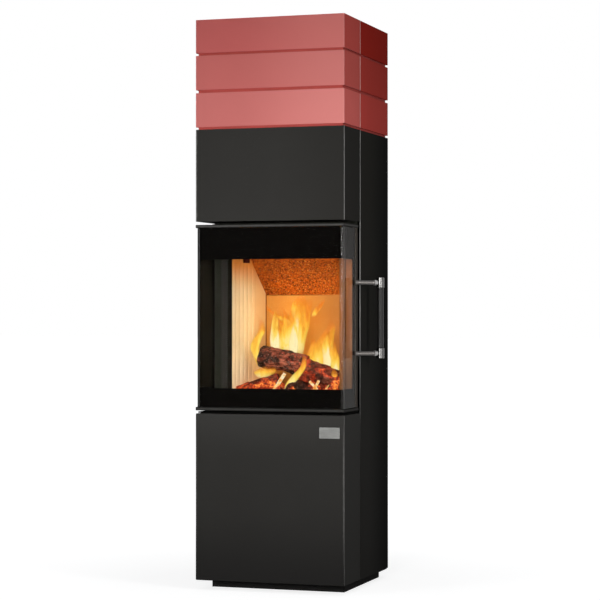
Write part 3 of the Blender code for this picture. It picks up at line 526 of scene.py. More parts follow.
def painted(name, code, gloss=0.5, specular=0.001, clouds=0.06):
    material, tree, shader = new_finish(name, Specular_IOR_Level=specular)
    wire(tree, shader, put(tree, paint_group, Colour=rgb(code), Clouds=clouds, Gloss=gloss), 0.10)
    return material


def corner_highlighted(name, code, highlight_code, corner_y, highlight_width, clouds=0.06):
    """Casing paint with a painted highlight down the two upright corners at corner_y."""
    far = 3.0
    material = painted(name, code, clouds=clouds)
    painted_light_and_soot_on_edges(material, (-casing_half, corner_y, -far), (casing_half, far, far), highlight_width, rgb(highlight_code))
    return material


def metal(name, code, stretch, depth, gloss, relief=0.12, metallic=1.0):
    material, tree, shader = new_finish(name, Metallic=metallic)
    wire(tree, shader, put(tree, brush_group, Colour=rgb(code), Stretch=stretch, Depth=depth, Gloss=gloss),
         relief, 0.0002)
    return material


def stone(name, code, stain, pores=260.0, soot=0.0, soot_level=0.62, relief=0.35):
    material, tree, shader = new_finish(name, Specular_IOR_Level=0.15)
    wire(tree, shader, put(tree, stone_group, Colour=rgb(code), Stain=rgb(stain), Pores=pores, Soot=soot,
                           Soot_level=soot_level), relief, 0.0006)
    return material


def sooty_joints(name, code, stain, box, soot_level):
    """Stone whose outer edges are darkened where it meets its neighbours."""
    material = stone(name, code, stain, soot=0.6, soot_level=soot_level)
    painted_light_and_soot_on_edges(material, box[0], box[1], 0.0045, (0.05, 0.012, 0.004, 1.0))
    return material


def board(name, code, bright, dark, flakes):
    material, tree, shader = new_finish(name, Specular_IOR_Level=0.15)
    wire(tree, shader, put(tree, flake_group, Colour=rgb(code), Bright=rgb(bright), Dark=rgb(dark),
                           Flakes=flakes), 0.5, 0.0008)
    return material


def burning(name, grain, heat, rise, ash, brown):
    """Burning wood or coal. rise is how much hotter it is towards the right."""
    material, tree, shader = new_finish(name, Specular_IOR_Level=0.1, Emission_Strength=1.0)
    wood = put(tree, ember_group, Grain=grain, Heat=heat, Rise=rise, Ash=ash, Brown=brown)
    wire(tree, shader, wood, 0.7, 0.003)
    tree.links.new(wood.outputs["Glow"], shader.inputs["Emission Color"])
    return material


def white_hot(name):
    """Splints that burn through: pale yellow with orange patches."""
    material, tree, shader = new_finish(name, Specular_IOR_Level=0.0, Emission_Strength=0.9)
    patches = noise(tree, own_place(tree), 90.0, 3.0, 0.6)
    wire(tree, shader, put(tree, ember_group, Heat=0.2, Ash=0.0), 0.3, 0.002)
    glow = ramp(tree, patches, [(0.35, (0.95, 0.30, 0.04)), (0.46, (1.0, 0.66, 0.22)),
                                (0.6, (1.0, 0.90, 0.62))])
    tree.links.new(glow, shader.inputs["Emission Color"])
    return material


def flame(name, foot, tip, heat, seed, fill, density):
    """Burning gas between two heights, thinner towards its own outline. fill is how closed its wisps are."""
    wisp_size = 2.2
    edge_softness = 1.5
    material, tree, shader = new_finish(name, Specular_IOR_Level=0.0, Roughness=1.0, Emission_Strength=1.0,
                                        Base_Color=(0.02, 0.008, 0.002, 1.0))
    wisp = put(tree, flame_group, Heat=heat, Seed=seed, Wisps=wisp_size, Fill=fill, Foot=foot, Tip=tip)
    tree.links.new(wisp.outputs["Glow"], shader.inputs["Emission Color"])
    facing = node(tree, "ShaderNodeLayerWeight", {"Blend": 0.5}).outputs["Facing"]
    soft = maths(tree, "POWER", minus(tree, 1.0, facing, clamp=True), edge_softness)
    body = times(tree, soft, wisp.outputs["Body"])
    tree.links.new(times(tree, body, density), shader.inputs["Alpha"])
    return material


def braided(name, code):
    material, tree, shader = new_finish(name, Specular_IOR_Level=0.1)
    wire(tree, shader, put(tree, braid_group, Colour=rgb(code), Strands=900.0), 0.6, 0.0006)
    return material


def clear_glass(name, coat=0.0):
    """Ceramic glass with a faint film of smoke that is thicker in patches."""
    thin_pane = 1.037
    material, tree, shader = new_finish(name, Transmission_Weight=1.0, IOR=thin_pane, Metallic=0.0,
                                        Coat_Weight=coat, Coat_IOR=1.25, Coat_Roughness=0.12)
    place = own_place(tree)
    upright = node(tree, "ShaderNodeMapping", {"Vector": place, "Scale": (1.0, 1.0, 2.2)}).outputs["Vector"]
    film = noise(tree, upright, 5.0, 5.0, 0.6)
    tint = blend_colour(tree, spread(tree, film, 0.3, 0.75), (1.0, 0.985, 0.96, 1.0), (0.93, 0.88, 0.82, 1.0))
    tree.links.new(tint, shader.inputs["Base Color"])
    haze = spread(tree, noise(tree, place, 9.0, 3.0), 0.5, 0.8, 0.0, 0.012)
    tree.links.new(haze, shader.inputs["Roughness"])
    return material


def self_lit_enamel_finish(name, code):
    """The print on the glass glows its own grey, as painted light, instead of being lit: light through the
    glass would only be sparks on it.
    """
    material, tree, shader = new_finish(name, Specular_IOR_Level=0.0, Emission_Strength=1.0, Base_Color=BLACK)
    skin = put(tree, paint_group, Colour=rgb(code), Clouds=0.08, Gloss=0.35)
    tree.links.new(skin.outputs["Colour"], shader.inputs["Emission Color"])
    tree.links.new(skin.outputs["Roughness"], shader.inputs["Roughness"])
    return material


def firelight_tinted(name, code):
    """The latch post has painted firelight, brown where its front lies behind the clear window, and is dark
    elsewhere.
    """
    blur = 0.004
    post_front, behind_front = -0.1448, -0.1438
    material, tree, shader = new_finish(name, Specular_IOR_Level=0.005)
    wire(tree, shader, put(tree, paint_group, Colour=rgb(code), Clouds=0.1, Gloss=0.6), 0.1)
    place = own_place(tree)
    axes = axes_of(tree, place)
    front = spread(tree, axes["Y"], post_front, behind_front, 1.0, 0.0)
    above = spread(tree, axes["Z"], sill - blur, sill + blur)
    below = spread(tree, axes["Z"], head - blur, head + blur, 1.0, 0.0)
    mask = times(tree, front, times(tree, above, below))
    firelit_share = times(tree, mask, spread(tree, noise(tree, place, 40.0, 4.0), 0.3, 0.7, 0.85, 1.0))
    brown = blend_colour(tree, spread(tree, axes["Z"], 0.68, 0.86), rgb("5c4029"), rgb("764a2c"))
    mix_in(tree, firelit_share, brown)
    return material


casing_half = 0.25
front_y = -0.25
panel_front_y = -0.0755
sill, head = 0.647, 1.0595
places = ("bottom", "middle", "top")
black_front = "31302e"
# Colours of the painted highlights down corners and seams, and of the painted shade along plate edges
pale_highlight = "8f8e8c"
soft_highlight = "6c6b69"
painted_edge_shade = "0f0f0e"
ring_highlight = "e8aaa5"
rear_ring_highlight = "f0c8c4"
joint_soot = "6b3414"
upright_lines = (500.0, 500.0, 60.0)

black_paint = painted("black paint", "2b2a29")
# Upper front: painted highlight down its corners, painted shade darkening it towards the right, and its sides
# a darker copy as painted shade
upper_paint = corner_highlighted("black paint upper front", black_front, pale_highlight, front_y, 0.006)
fade(upper_paint, "2c2b29", "X", 0.0, 0.25)
upper_shaded_side = corner_highlighted("black paint upper side, painted shade", "272624", pale_highlight, front_y, 0.006)
# Base door: painted highlight down its corners, painted light near its top, painted shade towards the floor,
# and its sides a lighter copy as painted light
lower_paint = corner_highlighted("black paint base door", black_front, soft_highlight, front_y, 0.006)
fade(lower_paint, "373634", "Z", 0.42, 0.57)
fade(lower_paint, "292827", "Z", 0.30, 0.03)
lower_lit_side = corner_highlighted("black paint base door side, painted light", "3a3937", soft_highlight, front_y, 0.006)
# Side panels: painted highlight down the seam edge, painted light lower down and painted shade towards the
# rear
panel_painted_light_and_shade = corner_highlighted("black paint side panel", "23221f", "a8a7a5", panel_front_y, 0.004)
fade(panel_painted_light_and_shade, "2c2b29", "Z", 1.0, 0.4)
fade(panel_painted_light_and_shade, "121211", "Y", 0.0, 0.25)
# Painted shade: the shelf under the fire door is near black, so that the gap there reads as deep shadow
shelf_painted_shade = painted("black paint shelf, painted shade", "0a0a09")
# Painted shade: the hinge stile is darker than the casing, so that its lit inner face stays dark
stile_painted_shade = painted("black paint hinge stile, painted shade", "121110")
# Door plates: the top plate is a lighter copy of the bottom one's paint, as painted light
top_plate_paint = painted("black paint door top plate", "4a4947")
bottom_plate_paint = painted("black paint door bottom plate", "3b3a38")
plate_half = 0.2507
# Painted shade along the plate edges leaves a lighter band along the middle
for finish, low_z, high_z in ((top_plate_paint, 1.161, 1.171), (bottom_plate_paint, 0.575, 0.586)):
    painted_light_and_soot_on_edges(finish, (-plate_half, -plate_half, low_z), (plate_half, 0.0, high_z), 0.005, rgb(painted_edge_shade))
# Painted shade on the underside of the top plate
fade(top_plate_paint, "0b0a09", "Z", 1.1619, 1.1613)
frame_paint = painted("heat proof grey paint", "2b2c27", gloss=0.6, specular=0.01, clouds=0.1)
# Of each ring, in painted light and shade: front at its left end, front at its right end (lighter), side of
# the front cover (darker), rear cover (darker still)
ring_lit_and_shaded_tones = {
    "bottom": ("bf6c68", "d07e79", "cd645e", "bb4740"),
    "middle": ("bb6561", "c77570", "be5750", "ae3d35"),
    "top": ("ba5f5c", "c6706b", "bd5049", "9b271e"),
}
red_stone = stone("red ring stone", "b8504a", "a34640", pores=420.0, relief=0.2)
red_top = painted("red paint top", "b5605c", clouds=0.05)

dark_steel = metal("dark steel", "3a3938", (60.0, 60.0, 900.0), 0.2, 0.5, metallic=0.6)
retainer_steel = painted("burnt retainer steel", "17130f", gloss=0.6, specular=0.05, clouds=0.15)
# Painted firelight: the right retainer is brown
firelit_retainer_paint = painted("retainer steel with painted firelight", "7c4f2c", gloss=0.6, specular=0.01, clouds=0.15)
clip_steel = painted("scorched clip steel", "3a1010", gloss=0.6, specular=0.05, clouds=0.15)
brushed_steel = metal("brushed steel", "676765", (40.0, 900.0, 900.0), 0.14, 0.34)
bright_steel = metal("polished steel", "5b5a59", upright_lines, 0.04, 0.26, relief=0.02)
arm_steel = metal("knurled steel", "706c69", (300.0, 300.0, 300.0), 0.12, 0.30)
arm_end_steel = metal("polished arm end", "9c9a98", upright_lines, 0.04, 0.30, relief=0.02)
grip_coat = painted("black grip coat", "161514", gloss=0.40, specular=0.24, clouds=0.03)
firebox_stone = stone("firebox stone", "d9cbaa", "d4bd96")
fade(firebox_stone, "ccb085", "Y", -0.02, 0.12)
fade(firebox_stone, "c8833c", "Z", 0.95, 1.06)
# Painted light: the side linings are lighter low down, lifting a shadow that falls there
fade(firebox_stone, "f2e0ba", "Z", 0.79, 0.70, 0.85)
fade(firebox_stone, joint_soot, "Y", 0.1455, 0.1480, 0.85)
rear_stone = sooty_joints("rear firebox stone", "c99548", "bb6f2c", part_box("rear_lining"), 0.62)
fade(rear_stone, "a06c34", "X", -0.05, 0.13)
fade(rear_stone, joint_soot, "X", -0.1465, -0.1490, 0.9)
fade(rear_stone, joint_soot, "X", 0.1465, 0.1490, 0.9)
hearth_stone = stone("hearth stone", "8d7358", "5b4636", soot=0.9, soot_level=0.66)
baffle_board = board("baffle board", "b4560c", "e29a3a", "3c1a05", 300.0)
storage_stone = stone("storage stone", "5a5552", "494542")
grate_iron = stone("cast iron", "2a2827", "1c1a19", pores=500.0, relief=0.5)
seal_cord = braided("seal cord", "3a3a38")
# Painted firelight: the right end of the seal is brown
fade(seal_cord, "4c2c14", "X", 0.15, 0.19)
firelight_tint = firelight_tinted("latch steel with painted firelight", "45403b")
door_glass = clear_glass("door glass")
bend_glass = clear_glass("bend of the door glass", coat=0.6)
printed_bend = painted("printed bend of the door glass", "0a0a09", gloss=0.22, specular=0.12)
side_print = painted("print on the glass side", "1e1e1a", gloss=0.5, specular=0.0)
# Painted light: the black print glows its own grey
enamel = self_lit_enamel_finish("black enamel glowing its own grey", "0b0a09")

wearers = (
    (black_paint, "plinth", "base_floor", "base_cabinet", "rear_panel", "upper_hinge_bracket",
     "storage_floor", "side_panel_left", "side_panel_right", "upper_front", "base_door",
     "door_bottom_plate", "door_top_plate"),
    (shelf_painted_shade, "hearth_shelf"),
    (stile_painted_shade, "hinge_stile"),
    (frame_paint, "face_frame", "firebox_shell", "hearth_plate"),
    (dark_steel, "air_box", "air_spigot", "ash_pan", "latch_shaft", "lower_hook", "upper_hook",
     "lower_keeper", "upper_keeper", "flue_pipe", "air_lever"),
    (bright_steel, "base_door_lower_pin", "base_door_upper_pin", "fire_door_lower_pin", "fire_door_upper_pin",
     "lower_collar", "upper_collar"),
    (arm_steel, "lower_arm", "upper_arm"),
    (brushed_steel, "push_plate"),
    (clip_steel, "baffle_clip"),
    (firelight_tint, "latch_post"),
    (grip_coat, "grip_bar"),
    (grate_iron, "grate"),
    (firebox_stone, "side_lining_left", "side_lining_right"),
    (rear_stone, "rear_lining"),
    (hearth_stone, "hearth_slab"),
    (baffle_board, "lower_baffle", "upper_baffle"),
    (storage_stone, "storage_stone_lower", "storage_stone_upper"),
    (red_stone, *(f"ring_stone_{place}" for place in places)),
    (red_top, "top_plate"),
    (seal_cord, "door_seal"),
    (door_glass, "door_glass"),
)
for finish, *names in wearers:
    for name in names:
        nodes[name].material_slots[0].material = finish


# Ways of making a piece

def deselect_all():
    if bpy.context.object is not None and bpy.context.object.mode != "OBJECT":
        bpy.ops.object.mode_set(mode="OBJECT")
    bpy.ops.object.select_all(action="DESELECT")


def take(piece):
    deselect_all()
    piece.select_set(True)
    bpy.context.view_layer.objects.active = piece


def named(name):
    piece = bpy.context.object
    piece.name = name
    piece.data.name = name
    return piece


def set_down(piece):
    """Put the piece's place, turn and size into its mesh."""
    take(piece)
    bpy.ops.object.transform_apply(location=True, rotation=True, scale=True)


def blank(name, low, high):
    """A block from one corner to the other, to be worked on."""
    deselect_all()
    low, high = Vector(low), Vector(high)
    bpy.ops.mesh.primitive_cube_add(size=1, location=(low + high) / 2, scale=high - low)
    piece = named(name)
    set_down(piece)
    return piece


def work_on(piece):
    take(piece)
    bpy.ops.object.mode_set(mode="EDIT")


def stop_work():
    bpy.ops.object.mode_set(mode="OBJECT")


def choose(piece, kind, test):
    """In edit mode, select the faces, edges or corners whose middle and direction pass the test."""
    bpy.ops.mesh.select_mode(type=kind)
    bpy.ops.mesh.select_all(action="DESELECT")
    mesh = bmesh.from_edit_mesh(piece.data)
    mesh.select_mode = {kind}
    if kind == "FACE":
        chosen = [face for face in mesh.faces if test(face.calc_center_median(), face.normal)]
    elif kind == "EDGE":
        chosen = []
        for edge in mesh.edges:
            start, end = (corner.co for corner in edge.verts)
            if test((start + end) / 2, (end - start).normalized()):
                chosen.append(edge)
    else:
        chosen = [corner for corner in mesh.verts if test(corner.co)]
    for element in chosen:
        element.select_set(True)
    mesh.select_flush_mode()
    bmesh.update_edit_mesh(piece.data)


def round_edges(radius, segments):
    bpy.ops.mesh.bevel(offset=radius, offset_type="OFFSET", segments=segments, profile=0.5, affect="EDGES")


def change(piece, kind, **settings):
    """Add a modifier and apply it."""
    take(piece)
    modifier = piece.modifiers.new(kind.lower(), kind)
    for key, value in settings.items():
        setattr(modifier, key, value)
    bpy.ops.object.modifier_apply(modifier=modifier.name)


def knock_uneven(piece, texture, strength, **more):
    change(piece, "DISPLACE", texture=texture, strength=strength, mid_level=0.5, **more)


def soften(piece, width=0.0005, segments=2, angle=40.0):
    change(piece, "BEVEL", width=width, segments=segments, limit_method="ANGLE",
           angle_limit=math.radians(angle), harden_normals=False)


def give_thickness(piece, thickness, **more):
    """Turn a shell into a sheet that lies inside it."""
    change(piece, "SOLIDIFY", thickness=thickness, offset=-1.0, **more)


def drill(piece, centre, radius, depth):
    """Bore an upright round hole with a cutter that is then thrown away."""
    deselect_all()
    bpy.ops.mesh.primitive_cylinder_add(vertices=40, radius=radius, depth=depth, location=centre)
    cutter = bpy.context.object
    change(piece, "BOOLEAN", operation="DIFFERENCE", object=cutter, solver="EXACT")
    bpy.data.objects.remove(cutter, do_unlink=True)


def face_outwards(piece):
    same_point = 0.00001
    work_on(piece)
    bpy.ops.mesh.select_all(action="SELECT")
    bpy.ops.mesh.remove_doubles(threshold=same_point)
    bpy.ops.mesh.normals_make_consistent(inside=False)
    stop_work()


def hand_over(piece, finish, body, stands_for=(), angle=30.0, extra=(), flat_faces=True):
    """Smooth a finished piece, give it its finishes and let it ride on its body."""
    set_down(piece)
    bpy.ops.object.shade_smooth_by_angle(angle=math.radians(angle))
    if flat_faces:
        change(piece, "WEIGHTED_NORMAL", mode="FACE_AREA", weight=80, keep_sharp=True)
    piece.data.materials.clear()
    for material in (finish, *extra):
        piece.data.materials.append(material)
    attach(piece, body)
    if stands_for:
        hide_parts(*stands_for)


def dress(piece, slot, test):
    """Give the faces that pass the test by middle and direction the finish in this slot."""
    for face in piece.data.polygons:
        if test(face.center, face.normal):
            face.material_index = slot


def dress_sides(cover):
    """The sides of a folded cover have the finish in slot 1: a copy of the front paint, darker as painted
    shade on the upper front and rings, lighter as painted light on the base door.
    """
    dress(cover, 1, lambda middle, way: abs(way.x) > 0.7)


def turned_up(name, steps, sides):
    """A piece turned about the Z axis at the origin: a disc is drawn up through each (radius, height)."""
    deselect_all()
    radius, height = steps[0]
    bpy.ops.mesh.primitive_circle_add(vertices=sides, radius=radius, fill_type="NGON",
                                      location=(0, 0, height))
    piece = named(name)
    set_down(piece)
    work_on(piece)
    bpy.ops.mesh.select_all(action="SELECT")
    for next_radius, next_height in steps[1:]:
        bpy.ops.mesh.extrude_region_move(TRANSFORM_OT_translate={"value": (0, 0, next_height - height)})
        share = next_radius / radius
        bpy.ops.transform.resize(value=(share, share, 1.0))
        radius, height = next_radius, next_height
    stop_work()
    face_outwards(piece)
    return piece


def put_at(piece, place, turn=(0, 0, 0)):
    piece.location = place
    piece.rotation_euler = turn
    set_down(piece)


def copy_of(piece, name):
    twin = piece.copy()
    twin.data = piece.data.copy()
    twin.name = name
    twin.data.name = name
    bpy.context.collection.objects.link(twin)
    return twin


# Folded covers of the casing

sheet = 0.003
fold = 0.0028
near = 0.001


def sleeve(name, low, high, open_side):
    """A sheet with two upright folds, open above, below and towards open_side (+1 rear, -1 front)."""
    cover = blank(name, low, high)
    work_on(cover)
    choose(cover, "FACE", lambda middle, way: abs(way.z) > 0.5 or way.y * open_side > 0.5)
    bpy.ops.mesh.delete(type="FACE")
    far_y = low.y if open_side > 0 else high.y
    choose(cover, "EDGE", lambda middle, way: abs(way.z) > 0.5 and abs(middle.y - far_y) < near)
    round_edges(fold, 5)
    stop_work()
    give_thickness(cover, sheet, use_even_offset=True)
    soften(cover, 0.0006)
    return cover


def make_upper_front():
    low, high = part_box("upper_front")
    cover = sleeve("upper_front_cover", low, high, 1)
    hand_over(cover, upper_paint, "stove", ("upper_front",), extra=(upper_shaded_side,))
    dress_sides(cover)


def make_base_door():
    """The lower front: folded at its sides, with a flange above and below that its pins go through."""
    flange = 0.022
    pin_x, pin_y, pin_hole = -0.239, -0.0895, 0.0034
    past_both_flanges = 0.6
    low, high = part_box("base_door")
    door = blank("base_door_cover", low, high)
    work_on(door)
    choose(door, "FACE", lambda middle, way: way.y > 0.5)
    bpy.ops.mesh.delete(type="FACE")
    for side in (-1, 1):
        choose(door, "FACE", lambda middle, way: way.z * side > 0.5)
        bpy.ops.mesh.inset(thickness=flange, use_boundary=False)
        bpy.ops.mesh.delete(type="FACE")

    def outer_fold(middle, way):
        at_side = abs(abs(middle.x) - casing_half) < near
        at_front = abs(middle.y - front_y) < near
        at_end = min(abs(middle.z - low.z), abs(middle.z - high.z)) < near
        return (at_side and at_front) or (at_end and (at_side or at_front) and abs(way.z) < 0.5)

    choose(door, "EDGE", outer_fold)
    round_edges(fold, 4)
    stop_work()
    give_thickness(door, sheet, use_even_offset=True)
    soften(door)
    drill(door, (pin_x, pin_y, (low.z + high.z) / 2), pin_hole, past_both_flanges)
    hand_over(door, lower_paint, "base_door", ("base_door",), extra=(lower_lit_side,))
    dress_sides(door)


def make_side_panels():
    for name in ("side_panel_left", "side_panel_right"):
        low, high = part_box(name)
        panel = blank(name + "_sheet", low, high)
        soften(panel, 0.0009, 3)
        hand_over(panel, panel_painted_light_and_shade, "stove", (name,))


def make_rings():
    """Each ring has a front cover and a rear cover, whose returns meet at the seam on both sides."""
    for place, (left_code, right_code, side_code, rear_code) in ring_lit_and_shaded_tones.items():
        low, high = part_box(f"ring_front_{place}")
        # The same red in painted light and shade: the front lighter towards the right, the sides and rear
        # darker, with painted highlights down corners and seams
        face = corner_highlighted(f"red paint ring {place} front", left_code, ring_highlight, low.y, 0.003, clouds=0.05)
        fade(face, right_code, "X", -0.15, 0.25)
        side = corner_highlighted(f"red paint ring {place} side", side_code, ring_highlight, low.y, 0.003, clouds=0.05)
        cover = sleeve(f"ring_front_{place}_cover", low, high, 1)
        hand_over(cover, face, "stove", (f"ring_front_{place}",), extra=(side,))
        dress_sides(cover)
        low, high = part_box(f"ring_rear_{place}")
        finish = corner_highlighted(f"red paint ring {place} rear", rear_code, rear_ring_highlight, low.y, 0.005, clouds=0.05)
        cover = sleeve(f"ring_rear_{place}_cover", low, high, -1)
        hand_over(cover, finish, "stove", (f"ring_rear_{place}",))


# Fire door

glass_wall = 0.004
glass_bend = 0.010


def upright_at_front(middle, way):
    """The upright edges at the two front corners of the door."""
    return abs(way.z) > 0.5 and middle.y < -0.2


def make_door_plates():
    pin_x, pin_y, pin_hole = -0.235, -0.1065, 0.0044
    corner, past_plate = 0.004, 0.03
    for name, finish in (("door_bottom_plate", bottom_plate_paint), ("door_top_plate", top_plate_paint)):
        low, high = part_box(name)
        plate = blank(name + "_rounded", low, high)
        work_on(plate)
        choose(plate, "EDGE", upright_at_front)
        round_edges(corner, 4)
        stop_work()
        soften(plate, 0.0009)
        drill(plate, (pin_x, pin_y, (low.z + high.z) / 2), pin_hole, past_plate)
        hand_over(plate, finish, "fire_door", (name,))


def glass_shape(name, inset, low_z, high_z, bend, rear_y):
    """Three upright walls with two rounded corners, drawn inset from the outside of the glass."""
    low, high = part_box("door_glass")
    side_x, face_y = high.x - inset, low.y + inset
    shape = blank(name, (-side_x, face_y, low_z), (side_x, rear_y, high_z))
    work_on(shape)
    choose(shape, "FACE", lambda middle, way: abs(way.z) > 0.5 or way.y > 0.5)
    bpy.ops.mesh.delete(type="FACE")
    choose(shape, "EDGE", upright_at_front)
    round_edges(bend, 10)
    stop_work()
    return shape


def make_glass():
    just_past_bend = 0.0105
    low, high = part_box("door_glass")
    pane = glass_shape("door_glass_pane", 0.0, low.z, high.z, glass_bend, high.y)
    give_thickness(pane, glass_wall, use_even_offset=True)
    soften(pane, 0.0004)
    hand_over(pane, door_glass, "fire_door", ("door_glass",), extra=(bend_glass, printed_bend))

    def on_bend(middle, way):
        at_corner = max(high.x - abs(middle.x), middle.y - low.y) < just_past_bend
        return at_corner and 0.03 < abs(way.x) < 0.997

    dress(pane, 1, lambda middle, way: on_bend(middle, way) and middle.x > 0)
    dress(pane, 2, lambda middle, way: middle.x < 0 and (on_bend(middle, way) or way.x < -0.9))


def make_enamel():
    """The black print on the inner side of the glass, cut out where the window is clear."""
    side_end = -0.1445
    inset, bend, margin, coat_wall = 0.0041, 0.0059, 0.0005, 0.0003
    low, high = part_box("door_glass")
    coat = glass_shape("glass_print", inset, low.z + margin, high.z - margin, bend, high.y - margin)
    work_on(coat)
    for level in (sill, head):
        bpy.ops.mesh.select_all(action="SELECT")
        bpy.ops.mesh.bisect(plane_co=(0, 0, level), plane_no=(0, 0, 1))
    bpy.ops.mesh.select_all(action="SELECT")
    bpy.ops.mesh.bisect(plane_co=(0, side_end, 0), plane_no=(0, 1, 0))
    choose(coat, "FACE", lambda middle, way: sill < middle.z < head
           and (abs(way.y) > 0.02 or (middle.x > 0 and middle.y < side_end)))
    bpy.ops.mesh.delete(type="FACE")
    stop_work()
    give_thickness(coat, coat_wall)
    hand_over(coat, enamel, "fire_door", extra=(side_print,))
    dress(coat, 1, lambda middle, way: middle.x < 0 and abs(way.x) > 0.9 and sill < middle.z < head)


# Handle and push plate

shaft = Vector((0.2345, -0.1085, 0.0))
arm_turn = math.radians(49.0)
arm_way = Vector((math.cos(arm_turn), math.sin(arm_turn), 0.0))
arm_reach = 0.1054
grip_place = shaft + arm_way * arm_reach
arm_levels = {"lower": 0.758, "upper": 0.986}


def make_arms():
    """Knurled arms: grooves run round each one, and its end next to the collar is smooth and polished."""
    start, end = 0.0053, 0.0926
    neck, groove, land, rim, rim_edge = 0.0055, 0.0060, 0.0070, 0.0085, 0.0079
    first_land, knurl_start, pitch, count = 0.016, 0.017, 0.0054, 11
    smooth_end, rim_start, rim_full = 0.0768, 0.0800, 0.0806
    slope, land_end, groove_start, rim_slope = 0.0010, 0.0034, 0.0044, 0.0006
    polished_from = 0.0803
    steps = [(neck, start), (land, start + slope), (land, first_land)]
    for i in range(count):
        foot = knurl_start + i * pitch
        steps += [(groove, foot), (land, foot + slope)]
        steps += [(land, foot + land_end), (groove, foot + groove_start)]
    steps += [(land, smooth_end), (land, rim_start), (rim, rim_full), (rim, end - rim_slope), (rim_edge, end)]
    arm = turned_up("arm_master", steps, 36)
    for which, level in arm_levels.items():
        piece = copy_of(arm, f"{which}_arm_knurled")
        put_at(piece, (shaft.x, shaft.y, level), (0, math.pi / 2, arm_turn))
        hand_over(piece, arm_steel, "handle", (f"{which}_arm",), extra=(arm_end_steel,))
        dress(piece, 1, lambda middle, way: (middle - shaft).dot(arm_way) > polished_from)
    bpy.data.objects.remove(arm, do_unlink=True)


def make_collars():
    half = 0.0165
    full, shoulder, end_face = 0.0125, 0.0120, 0.0105
    shoulder_drop, full_drop = 0.0003, 0.0009
    steps = [(end_face, -half), (shoulder, -half + shoulder_drop), (full, -half + full_drop),
             (full, half - full_drop), (shoulder, half - shoulder_drop), (end_face, half)]
    collar = turned_up("collar_master", steps, 48)
    for which, level in arm_levels.items():
        piece = copy_of(collar, f"{which}_collar_turned")
        put_at(piece, (grip_place.x, grip_place.y, level))
        hand_over(piece, bright_steel, "handle", (f"{which}_collar",))
    bpy.data.objects.remove(collar, do_unlink=True)


def make_grip():
    full, end_face, edge = 0.0105, 0.0098, 0.0008
    low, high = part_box("grip_bar")
    steps = [(end_face, low.z), (full, low.z + edge), (full, high.z - edge), (end_face, high.z)]
    bar = turned_up("grip_bar_turned", steps, 40)
    put_at(bar, (grip_place.x, grip_place.y, 0))
    hand_over(bar, grip_coat, "handle", ("grip_bar",))


def make_push_plate():
    corner = 0.0012
    low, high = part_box("push_plate")
    plate = blank("push_plate_brushed", low, high)
    work_on(plate)
    choose(plate, "EDGE", lambda middle, way: abs(way.y) > 0.5)
    round_edges(corner, 3)
    stop_work()
    soften(plate, 0.0003, 2, 50.0)
    hand_over(plate, brushed_steel, "base_door", ("push_plate",))


# Firebox fittings

def make_retainers():
    """Steel strips at the front ends of the side linings: the left one burnt, the right one brown with
    painted firelight.
    """
    inner_x, outer_x = 0.1843, 0.1982
    strip_front, strip_rear = -0.0903, -0.0893
    below_lining_top = 0.002
    low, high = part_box("side_lining_left")
    for side, name, finish in ((-1, "left", retainer_steel), (1, "right", firelit_retainer_paint)):
        left, right = sorted((side * inner_x, side * outer_x))
        strip = blank(f"lining_retainer_{name}", (left, strip_front, low.z),
                      (right, strip_rear, high.z - below_lining_top))
        soften(strip, 0.0003)
        hand_over(strip, finish, "stove")


# Fire

def cloud_texture(name, size, depth):
    texture = bpy.data.textures.new(name, "CLOUDS")
    texture.noise_scale = size
    texture.noise_depth = depth
    return texture


coarse_clouds = cloud_texture("coarse clouds", 0.07, 2)
fine_clouds = cloud_texture("fine clouds", 0.016, 3)
slow_clouds = cloud_texture("slow clouds", 0.09, 1)


def make_log(name, start, end, radius, finish, thin=0.0, sides=44, lengths=30):
    """A round log: a cylinder is cut into short lengths, rounded at its ends and knocked uneven."""
    end_rings, end_rounding = (0.12, 0.30, 0.30), 0.14
    coarse, fine = 0.55, 0.22
    start, end = Vector(start), Vector(end)
    run = end - start
    deselect_all()
    bpy.ops.mesh.primitive_cylinder_add(vertices=sides, radius=radius, depth=run.length, end_fill_type="NGON",
                                        location=(0, 0, 0))
    log = named(name)
    work_on(log)
    choose(log, "EDGE", lambda middle, way: abs(way.z) > 0.9)
    bpy.ops.mesh.subdivide(number_cuts=lengths)
    choose(log, "FACE", lambda middle, way: abs(way.z) > 0.9)
    for share in end_rings:
        bpy.ops.mesh.inset(thickness=radius * share, use_individual=True)
    choose(log, "EDGE", lambda middle, way: abs(abs(middle.z) - run.length / 2) < 0.0001
           and abs(math.hypot(middle.x, middle.y) - radius) < radius * 0.01)
    round_edges(radius * end_rounding, 2)
    stop_work()
    if thin:
        change(log, "SIMPLE_DEFORM", deform_method="TAPER", factor=thin, deform_axis="Z")
    knock_uneven(log, coarse_clouds, radius * coarse, texture_coords="LOCAL")
    knock_uneven(log, fine_clouds, radius * fine, texture_coords="LOCAL")
    put_at(log, (start + end) / 2, run.to_track_quat("Z", "Y").to_euler())
    hand_over(log, finish, "stove", angle=50.0, flat_faces=False)


